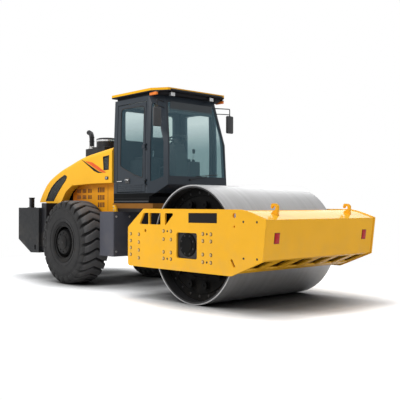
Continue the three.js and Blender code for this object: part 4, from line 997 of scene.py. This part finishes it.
for name, side in SIDES:
    face = side * PANEL_HALF
    louvres = Piece(f"louvres_{name}", "rear_frame", "yellow_paint", louvre_slot_shade, panel_shaded_yellow)
    for x, low, width, height in SLOTS:
        cell = [(x, low), (x + width, low), (x + width, low + height), (x, low + height)]
        # each slot is a flat dark patch: painted shade
        louvres.add(prism(in_row(cell), "y", face - side * 0.002, face + side * 0.0008), 0)
        louvres.add(tube([at(u, face + side * 0.001, v) for u, v in cell], 0.0028, 6, closed=True), 1)
    louvres.add(tube([at(SEAM_X, face + side * 0.0003, z) for z in (1.286, 1.755)], 0.003, 6), 0)
    louvres.done()

    housing = Piece(f"tank_details_{name}", "rear_frame", "dark_paint", dark_grey, bolt_steel, black_paint)
    filler = at(-2.300, side * 0.720, 1.2798)
    housing.add(lathe(disc(0.062, 0.020), filler, UP, 40), 0)
    housing.add(lathe(FILLER_CAP, filler, UP, 40), 2)
    for z in (0.62, 1.20):
        housing.bolts([at(-2.1048, side * y, z) for y in (0.62, 0.89)], (1, 0, 0), 0.014, 0.010, 1)
    housing.done()

    post = Piece(f"rear_lamp_{name}", "rear_frame", "black_paint", black_paint, red_lens, amber, bolt_steel)
    y = side * POST_Y
    for half, low, high, bevel, segments in POST_BLOCKS:
        post.add(block(at(POST_X - half, y - half, low), at(POST_X + half, y + half, high), bevel, segments), 0)
    for low, high, colour in ((1.440, 1.505, 1), (1.370, 1.430, 2)):
        post.add(block(at(POST_X - 0.043, y - 0.030, low), at(POST_X - 0.036, y + 0.030, high), 0.003), colour)
    post.bolts([at(POST_X + dx, y + dy, 1.343) for dx in (-0.050, 0.050) for dy in (-0.050, 0.050)],
               UP, 0.006, 0.005, 3)
    post.done()

# Bolts, a tow ring and two grooves on the counterweight's rear face. The grooves are flat dark strips: painted
# shade.
WEIGHT_FACE = node_box("counterweight")[0][0]
weight = Piece("counterweight_details", "rear_frame", "dark_paint", weight_grey, dark_grey, dark_void)
for y in (-0.80, -0.30, 0.30, 0.80):
    weight.bolts([at(WEIGHT_FACE, y, z) for z in (0.84, 1.24)], (-1, 0, 0), 0.026, 0.018, 1)
weight.add(lathe([(0.050, 0.0), (0.095, 0.0), (0.095, 0.016), (0.070, 0.030), (0.050, 0.032), (0.050, 0.0)],
                 at(WEIGHT_FACE, 0.0, 0.86), (-1, 0, 0), 40), 0)
# flat dark strips: painted shade in the grooves
for y in (-0.55, 0.55):
    weight.add(prism([(y - 0.003, 0.74), (y + 0.003, 0.74), (y + 0.003, 1.325), (y - 0.003, 1.325)], "x",
                     WEIGHT_FACE - 0.0008 + DRUM_X, WEIGHT_FACE + DRUM_X), 2)
weight.done()

# The engine's rocker covers, coolant hose, fan shroud and fan.
ENGINE_TOP = node_box("engine")[1][2]
FAN_Z = 1.38
BLADES = 7
BLADE = [(-0.018, 0.045), (-0.030, 0.200), (0.030, 0.205), (0.020, 0.045)]
engine = Piece("engine_dress", "rear_frame", "dark_paint", dark_grey, bolt_steel, black_paint, hose_rubber)
for k in range(6):
    x = -3.875 + k * 0.150
    engine.add(block(at(x, -0.115, ENGINE_TOP), at(x + 0.120, 0.115, ENGINE_TOP + 0.075), 0.016, 3), 0)
    engine.bolts([at(x + 0.060, 0.0, ENGINE_TOP + 0.075)], UP, 0.012, 0.010, 1)
hose = [at(x, y, ENGINE_TOP + rise) for x, y, rise in ((-2.990, 0.225, 0.03), (-3.250, 0.250, 0.05),
                                                      (-3.600, 0.250, 0.05), (-3.880, 0.215, 0.04))]
engine.add(tube(smooth_path(hose, 8), 0.036, 14), 2)
engine.add(lathe([(0.0, 0.0), (0.225, 0.0), (0.232, 0.006), (0.232, 0.030), (0.210, 0.034), (0.060, 0.040),
                  (0.0, 0.040)], at(-4.095, 0.0, FAN_Z), (-1, 0, 0), 56), 2)
for k in range(BLADES):
    spin = (Matrix.Translation(at(-4.136, 0.0, FAN_Z)) @ Matrix.Rotation(2 * math.pi * k / BLADES, 4, "X")
            @ Matrix.Rotation(math.radians(24), 4, "Y"))
    engine.add(prism(BLADE, "x", -0.003, 0.003), 3, spin)
engine.done()

# ---------------------------------------------------------------- cab

CAB_REAR = node_box("cab_rear_wall")[0][0]
CAB_HALF, CAB_TOP = node_box("cab_rear_wall")[1][1:]
CAB_KINK = node_box("cab_side_frame_left")[1][0]
CAB_FLOOR_TOP = node_box("cab_floor")[1][2]
CAB_LEAN = 0.028         # how far each side leans in at the top, from LEAN_START up
LEAN_START = 2.400
DOOR_WINDOW = [(CAB_REAR + 0.190, CAB_TOP - 0.148), (CAB_KINK - 0.104, CAB_TOP - 0.158),
               (CAB_KINK - 0.116, CAB_FLOOR_TOP + 0.247), (CAB_KINK - 0.280, CAB_FLOOR_TOP + 0.277),
               (CAB_REAR + 0.185, CAB_FLOOR_TOP + 0.451)]
HANDLE = [(-0.040, 0.016), (-0.030, 0.034), (0.030, 0.034), (0.044, 0.016)]
GRAB_BAR = [(-2.245, 0.0), (-2.245, 0.030), (-2.130, 0.030), (-2.130, 0.0)]
LATCH = (-1.985, 1.795)
DOOR_REAR, DOOR_FRONT = -2.372, -1.425
MIRROR_X, MIRROR_Y = -1.155, 0.798
UPPER_ARM = [(-1.290, 0.556, 3.044), (-1.255, 0.610, 3.044), (-1.195, 0.740, 3.044), (-1.160, 0.792, 3.040),
             (MIRROR_X, MIRROR_Y, 3.010), (MIRROR_X, MIRROR_Y, 2.918)]
LOWER_ARM = [(-1.262, 0.570, 2.948), (-1.220, 0.640, 2.948), (-1.170, 0.760, 2.948),
             (MIRROR_X, MIRROR_Y, 2.948)]
BRACKET = [(-2.345, 1.2810), (-2.235, 1.2810), (-2.262, 1.345), (-2.300, 1.395), (-2.345, 1.395)]


def cab_side(z):
    """Half the cab's width at a height."""
    return CAB_HALF - CAB_LEAN * max(0.0, (z - LEAN_START) / (CAB_TOP - LEAN_START))


def rounded_corners(outline, reach=0.055, cut=0.028):
    """Three points for each corner of an outline, which a seal follows."""
    middle = sum((Vector(p) for p in outline), Vector((0, 0))) / len(outline)
    loop = []
    for i, corner in enumerate(outline):
        here = Vector(corner)
        before, after = Vector(outline[i - 1]), Vector(outline[(i + 1) % len(outline)])
        loop.extend([here.lerp(before, reach / (here - before).length), here + (middle - here) * cut,
                     here.lerp(after, reach / (here - after).length)])
    return loop


for name, side in SIDES:
    face = side * CAB_HALF
    door = Piece(f"door_fittings_{name}", f"{name}_door", "cab_paint", cab_grey, seal_rubber, chrome, plastic)
    for z in (1.618, 1.648, 1.678, 1.708):
        door.add(side_block(side, (-2.235, CAB_HALF, z), (-1.600, CAB_HALF + 0.0065, z + 0.013), 0.003), 0)
    seal = [at(x, side * (cab_side(z) - 0.001), z) for x, z in rounded_corners(DOOR_WINDOW)]
    door.add(tube(seal, 0.009, 8, closed=True), 1)
    x, z = LATCH
    door.add(side_block(side, (x - 0.062, CAB_HALF, z - 0.045),
                        (x + 0.062, CAB_HALF + 0.012, z + 0.045), 0.010, 3), 3)
    handle = [at(x + along, face + side * proud, z + 0.012) for along, proud in HANDLE]
    door.add(tube(smooth_path(handle, 4), 0.007, 10), 2)
    bar = [at(along, face + side * proud, 1.786) for along, proud in GRAB_BAR]
    door.add(tube(smooth_path(bar, 5), 0.0075, 10), 2)
    door.done()

    shut = Piece(f"cab_seams_{name}", "rear_frame", "cab_paint", plastic, dark_void)
    shut.add(side_block(side, (DOOR_REAR, CAB_HALF - 0.0045, 1.440),
                        (DOOR_FRONT, CAB_HALF + 0.0035, 1.462), 0.002), 0)
    # the door's shut line: a dark strip, painted shade in the gap
    gap = [(DOOR_REAR, 1.500), (DOOR_FRONT, 1.500), (DOOR_FRONT, 1.505), (DOOR_REAR, 1.505)]
    shut.add(prism(in_row(gap), "y", face - side * 0.0055, face - side * 0.0035), 1)
    for z in (1.7, 2.1, 2.5, 2.9):
        shut.add(lathe([(0.0, 0.0), (0.009, 0.0), (0.006, 0.003), (0.0, 0.003)],
                       at(-2.340, side * (cab_side(z) - 0.0002), z), (0, side, 0), 16), 0)
    shut.done()

    mirror = Piece(f"mirror_head_{name}", "rear_frame", "black_paint", plastic, mirror_face, black_paint)
    mirror.add(side_block(side, (MIRROR_X - 0.025, MIRROR_Y - 0.077, 2.622),
                          (MIRROR_X + 0.025, MIRROR_Y + 0.077, 2.924), 0.024, 4), 0)
    mirror.add(side_block(side, (MIRROR_X - 0.0268, MIRROR_Y - 0.062, 2.640),
                          (MIRROR_X - 0.0245, MIRROR_Y + 0.062, 2.906), 0.001), 1)
    for path, thick in ((UPPER_ARM, 0.0085), (LOWER_ARM, 0.0075)):
        mirror.add(tube(smooth_path([at(x, side * y, z) for x, y, z in path], 5), thick, 10), 2)
    mirror.add(lathe(disc(0.016, 0.030), at(MIRROR_X, side * MIRROR_Y, 2.900), UP, 20), 0)
    mirror.done(replaces=[f"mirror_{name}"])

    foot = Piece(f"platform_bracket_{name}", "rear_frame", "yellow_paint", yellow, bolt_steel)
    foot.add(prism(in_row(BRACKET), "y", side * 0.7605, side * 0.800, 0.004, 2))
    foot.bolts([at(-2.310, side * 0.800, z) for z in (1.310, 1.360)], (0, side, 0), 0.010, 0.008, 1)
    foot.done()

# The radiator's cowl fills the arch between the hood and the louvred panels.
FIN_END = 0.605
cowl = Piece("radiator_cowl", "rear_frame", "black_paint", black_paint, mesh_grey)
cowl.add(block(at(-4.300, -0.600, 1.330), at(-4.080, 0.600, 1.765), 0.012, 3), 0)
for side in (-1, 1):
    for z in (1.40, 1.48, 1.56):
        cowl.add(side_block(side, (-4.280, 0.985 * FIN_END, z), (-4.190, FIN_END, z + 0.050)), 1)
cowl.done()

# Lamps and amber markers under the front of the roof, and a black tube along the roof's front edge: painted
# shade.
lamps = Piece("roof_lamps", "rear_frame", "cab_plastic", plastic, lamp_glass, bolt_steel)
for y in (-0.505, 0.333):
    lamps.add(block(at(-1.165, y - 0.048, 3.118), at(-1.118, y + 0.048, 3.186), 0.008, 3), 0)
    lamps.add(block(at(-1.121, y - 0.041, 3.125), at(-1.112, y + 0.041, 3.179)), 1)
    lamps.add(tube([at(-1.145, y, 3.180), at(-1.145, y, 3.1948)], 0.009, 10), 2)
lamps.done()

for name, side in (("amber_marker", -1), ("amber_marker_left", 1)):
    marker = Piece(name, "rear_frame", "cab_plastic", amber, plastic)
    marker.add(side_block(side, (-1.420, 0.705, 3.140), (-1.240, 0.745, 3.186), 0.010, 3), 0)
    marker.add(side_block(side, (-1.425, 0.700, 3.182), (-1.235, 0.742, 3.1948), 0.003), 1)
    marker.done()

# a black tube over the lower part of the roof's front edge: painted shade
roof_edge_shade = Piece("roof_front_painted_shade", "rear_frame", "black_paint", black_paint)
ROOF_EDGE = [(-1.385, -0.750), (-1.108, -0.580), (-1.0955, -0.550), (-1.0955, 0.550), (-1.108, 0.580),
             (-1.385, 0.750)]
roof_edge_shade.add(tube([at(x, y, 3.221) for x, y in ROOF_EDGE], 0.0135, 12), 0)
roof_edge_shade.done()

blind = Piece("sun_blind", "rear_frame", "cab_plastic", blind_teal)
BLIND = [(-0.470, 2.880), (0.470, 2.880), (0.450, 3.060), (-0.450, 3.060)]
blind.add(prism(BLIND, "x", -0.003, 0.003, 0.001), 0, Matrix.Translation(at(-1.245, 0.0, 0.0)))
blind.done()

wiper = Piece("windscreen_wiper", "rear_frame", "black_paint", black_paint, seal_rubber)
wiper.add(lathe([(0.0, 0.0), (0.018, 0.0), (0.018, 0.016), (0.010, 0.022), (0.0, 0.022)],
                at(-1.069, -0.180, 1.800), (1, 0, 0), 20), 0)
arm = [at(-1.052, -0.180, 1.803), at(-1.052, -0.020, 1.822), at(-1.054, 0.180, 1.862)]
wiper.add(tube(smooth_path(arm, 6), 0.006, 8), 0)
wiper.add(tube([at(-1.060, -0.060, 1.858), at(-1.060, 0.420, 1.896)], 0.0065, 8), 1)
wiper.done()

# Levers with their boots, armrest pads, pedals, the instrument hood and the ceiling liner.
BOOT = [(0.0, 0.0), (0.030, 0.0), (0.034, 0.006), (0.020, 0.045), (0.0, 0.050)]
KNOB = [(0.0, 0.0), (0.016, 0.0), (0.026, 0.030), (0.024, 0.070), (0.0, 0.082)]
inside = Piece("cab_interior", "rear_frame", "cab_plastic", plastic, seal_rubber, chrome)
for console in (-0.445, 0.445):
    inside.add(lathe(BOOT, at(-1.700, console, 2.1455), UP, 24), 1)
    inside.add(tube([at(-1.700, console, 2.185), at(-1.690, console, 2.300)], 0.008, 10), 2)
    inside.add(lathe(KNOB, at(-1.690, console, 2.290), (0.05, 0, 1), 24), 0)
    inside.add(block(at(-2.120, console - 0.060, 2.1458), at(-1.820, console + 0.060, 2.205), 0.022, 4), 1)
for y in (-0.085, 0.085):
    inside.add(block(at(-1.440, y - 0.040, 1.600), at(-1.415, y + 0.040, 1.760), 0.008), 1)
inside.add(block(at(-1.640, -0.120, 2.310), at(-1.560, 0.120, 2.420), 0.012, 3), 0)
inside.add(block(at(-2.333, -0.520, 3.060), at(-1.500, 0.520, 3.1488), 0.020, 3), 0)
inside.done()

# ---------------------------------------------------------------- seat cushions

CLOTH_STEPS = 20
CAP = 0.026              # how far the cloth simulation may move a point
CHANNEL_DEPTH, CHANNEL_WIDTH = 0.011, 0.010


def blow_up(obj):
    """Runs the cloth simulation, and takes its result with each point's move capped."""
    still = [v.co.copy() for v in obj.data.vertices]
    cloth_step = obj.modifiers.new("cloth", "CLOTH")
    cloth_step.settings.use_pressure = True
    cloth_step.settings.uniform_pressure_force = 4.0
    cloth_step.settings.quality = 4
    cloth_step.settings.effector_weights.gravity = 0.0
    cloth_step.point_cache.frame_start, cloth_step.point_cache.frame_end = 1, CLOTH_STEPS
    for step in range(1, CLOTH_STEPS + 1):
        scene.frame_set(step)
    blown = bpy.data.meshes.new_from_object(obj.evaluated_get(bpy.context.evaluated_depsgraph_get()))
    for vert, rest in zip(blown.vertices, still):
        move = vert.co - rest
        if move.length > CAP:
            vert.co = rest + move * (CAP / move.length)
    obj.modifiers.clear()
    obj.data = blown
    scene.frame_set(1)


def cushion(name, low, high, lean=0.0):
    """A stuffed cushion: a rounded form, blown up by a cloth simulation and fitted to its box."""
    low, high = Vector(low), Vector(high)
    size = high - low
    bm = bmesh.new()
    bmesh.ops.create_cube(bm, size=1.0)
    for vert in bm.verts:
        vert.co = Vector(vert.co[i] * size[i] for i in range(3))
    bmesh.ops.bevel(bm, geom=bm.edges[:], offset=0.231 * min(size), segments=4, affect="EDGES", profile=0.5)
    data = bpy.data.meshes.new(name)
    bm.to_mesh(data)
    bm.free()
    obj = bpy.data.objects.new(name, data)
    scene.collection.objects.link(obj)
    obj.matrix_world = Matrix.Translation((low + high) / 2) @ Matrix.Rotation(lean, 4, "Y")
    bpy.context.view_layer.update()
    remesh = obj.modifiers.new("remesh", "REMESH")
    remesh.mode, remesh.voxel_size = "VOXEL", 0.006
    fine = bpy.data.meshes.new_from_object(obj.evaluated_get(bpy.context.evaluated_depsgraph_get()))
    obj.modifiers.clear()
    obj.data = fine
    blow_up(obj)
    made_low = Vector(map(min, zip(*[v.co for v in obj.data.vertices])))
    made_high = Vector(map(max, zip(*[v.co for v in obj.data.vertices])))
    fit = [min(1.0, size[i] / max(made_high[i] - made_low[i], 1e-6)) for i in range(3)]
    middle = (made_low + made_high) / 2
    for vert in obj.data.vertices:
        vert.co = Vector((vert.co[i] - middle[i]) * fit[i] for i in range(3))
    obj.data.materials.clear()
    obj.data.materials.append(cloth)
    obj.data.polygons.foreach_set("use_smooth", [True] * len(obj.data.polygons))
    return obj, size


def sew(obj, size, out_axis, seams):
    """Presses seam channels into a cushion's face, and finishes it with one subdivision."""
    for vert in obj.data.vertices:
        share = vert.co[out_axis] / size[out_axis]
        if share < 0.05:
            continue
        depth = sum(CHANNEL_DEPTH * math.exp(-((vert.co[axis] - spot) / CHANNEL_WIDTH) ** 2)
                    for axis, spot in seams)
        wrinkle = noise.noise(vert.co * 9.0) * 0.0012
        vert.co[out_axis] -= depth * min(1.0, share * 3) + wrinkle
    sub = obj.modifiers.new("fine", "SUBSURF")
    sub.levels = sub.render_levels = 1


low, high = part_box("seat_cushion")
margin = Vector((0.004, 0.004, 0.0))
seat, seat_size = cushion("seat_cushion_padded", low + margin, high - margin)
sew(seat, seat_size, 2, [(1, -0.165), (1, 0.165), (0, 0.120)])
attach(seat, "rear_frame")
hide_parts("seat_cushion")

BACK_LOW = at(-2.205, -0.236, 2.058)
BACK_HIGH = at(-2.115, 0.236, 2.600)
back, back_size = cushion("seat_backrest_padded", BACK_LOW, BACK_HIGH, lean=-0.155)
sew(back, back_size, 0, [(1, -0.155), (1, 0.155), (2, -0.120)])
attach(back, "rear_frame")
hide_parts("seat_backrest")

# ---------------------------------------------------------------- studio

REACH = 60.0             # half the floor's side
SHADOW_REACH = 0.95
FADE_START, FADE_END = 3.4, 6.2


def floor_material():
    """A pale floor that fades to plain white away from the machine, and darkens close under it."""
    g = Graph("studio_floor")
    seen = g.seen_directly()
    contact = g.node("ShaderNodeAmbientOcclusion", {"Distance": SHADOW_REACH}, samples=8)
    shade = g.math("POWER", contact.outputs["AO"], 1.9)
    pale = g.mix(seen, (0.80, 0.80, 0.80), (1.55, 1.55, 1.55))
    diffuse = g.node("ShaderNodeBsdfDiffuse", {"Color": g.mix(shade, (0.01, 0.01, 0.01), pale)})
    bright = g.node("ShaderNodeEmission", {"Strength": 1.0})
    away = g.vector("LENGTH", g.scaled(0.80, 1.0, 1.0), output="Value")
    share = g.math("MULTIPLY", seen, g.span(away, FADE_START, FADE_END))
    blend = g.node("ShaderNodeMixShader", {0: share, 1: diffuse.outputs[0], 2: bright.outputs[0]})
    g.link(blend.outputs[0], g.output.inputs["Surface"])
    g.tree.nodes.remove(g.shader)
    return g.material


ground = bpy.data.meshes.new("ground")
ground.from_pydata([(-REACH, -REACH, 0), (REACH, -REACH, 0), (REACH, REACH, 0), (-REACH, REACH, 0)], [],
                   [(0, 1, 2, 3)])
ground.materials.append(floor_material())
floor = bpy.data.objects.new("studio_floor", ground)
scene.collection.objects.link(floor)


def studio_world():
    """Soft light for the object, and plain white behind it."""
    scene.world = bpy.data.worlds.new("studio")
    scene.world.use_nodes = True
    g = NodeTree(scene.world.node_tree)
    soft, white = (g.node("ShaderNodeBackground", {"Color": (*colour, 1.0), "Strength": strength}).outputs[0]
                   for colour, strength in (((0.95, 0.97, 1.0), 0.40), ((1.0, 1.0, 1.0), 1.0)))
    choose = g.node("ShaderNodeMixShader", {0: g.seen_directly(), 1: soft, 2: white})
    g.link(choose.outputs[0], g.node("ShaderNodeOutputWorld").inputs["Surface"])


studio_world()


def lamp(name, place, target, power, size):
    """A round area lamp that lights the object but isn't seen itself, nor through glass."""
    data = bpy.data.lights.new(name, "AREA")
    data.energy, data.shape, data.size = power, "DISK", size
    obj = bpy.data.objects.new(name, data)
    scene.collection.objects.link(obj)
    obj.location = place
    obj.rotation_euler = (Vector(target) - Vector(place)).to_track_quat("-Z", "Y").to_euler()
    obj.visible_camera = obj.visible_transmission = False
    return obj


lamp("key", (-2.0, -11.0, 8.5), (0.0, 0.0, 1.2), 980, 6.0)
lamp("top", (0.0, 0.0, 11.0), (0.0, 0.0, 0.0), 430, 5.0)
lamp("fill", (-4.0, 10.0, 6.0), (0.0, 0.0, 1.2), 300, 6.0)
lamp("front", (12.0, 1.0, 4.5), (1.5, -0.3, 1.0), 190, 5.0).visible_glossy = False

scene.view_settings.view_transform = "Standard"

bpy.context.view_layer.update()
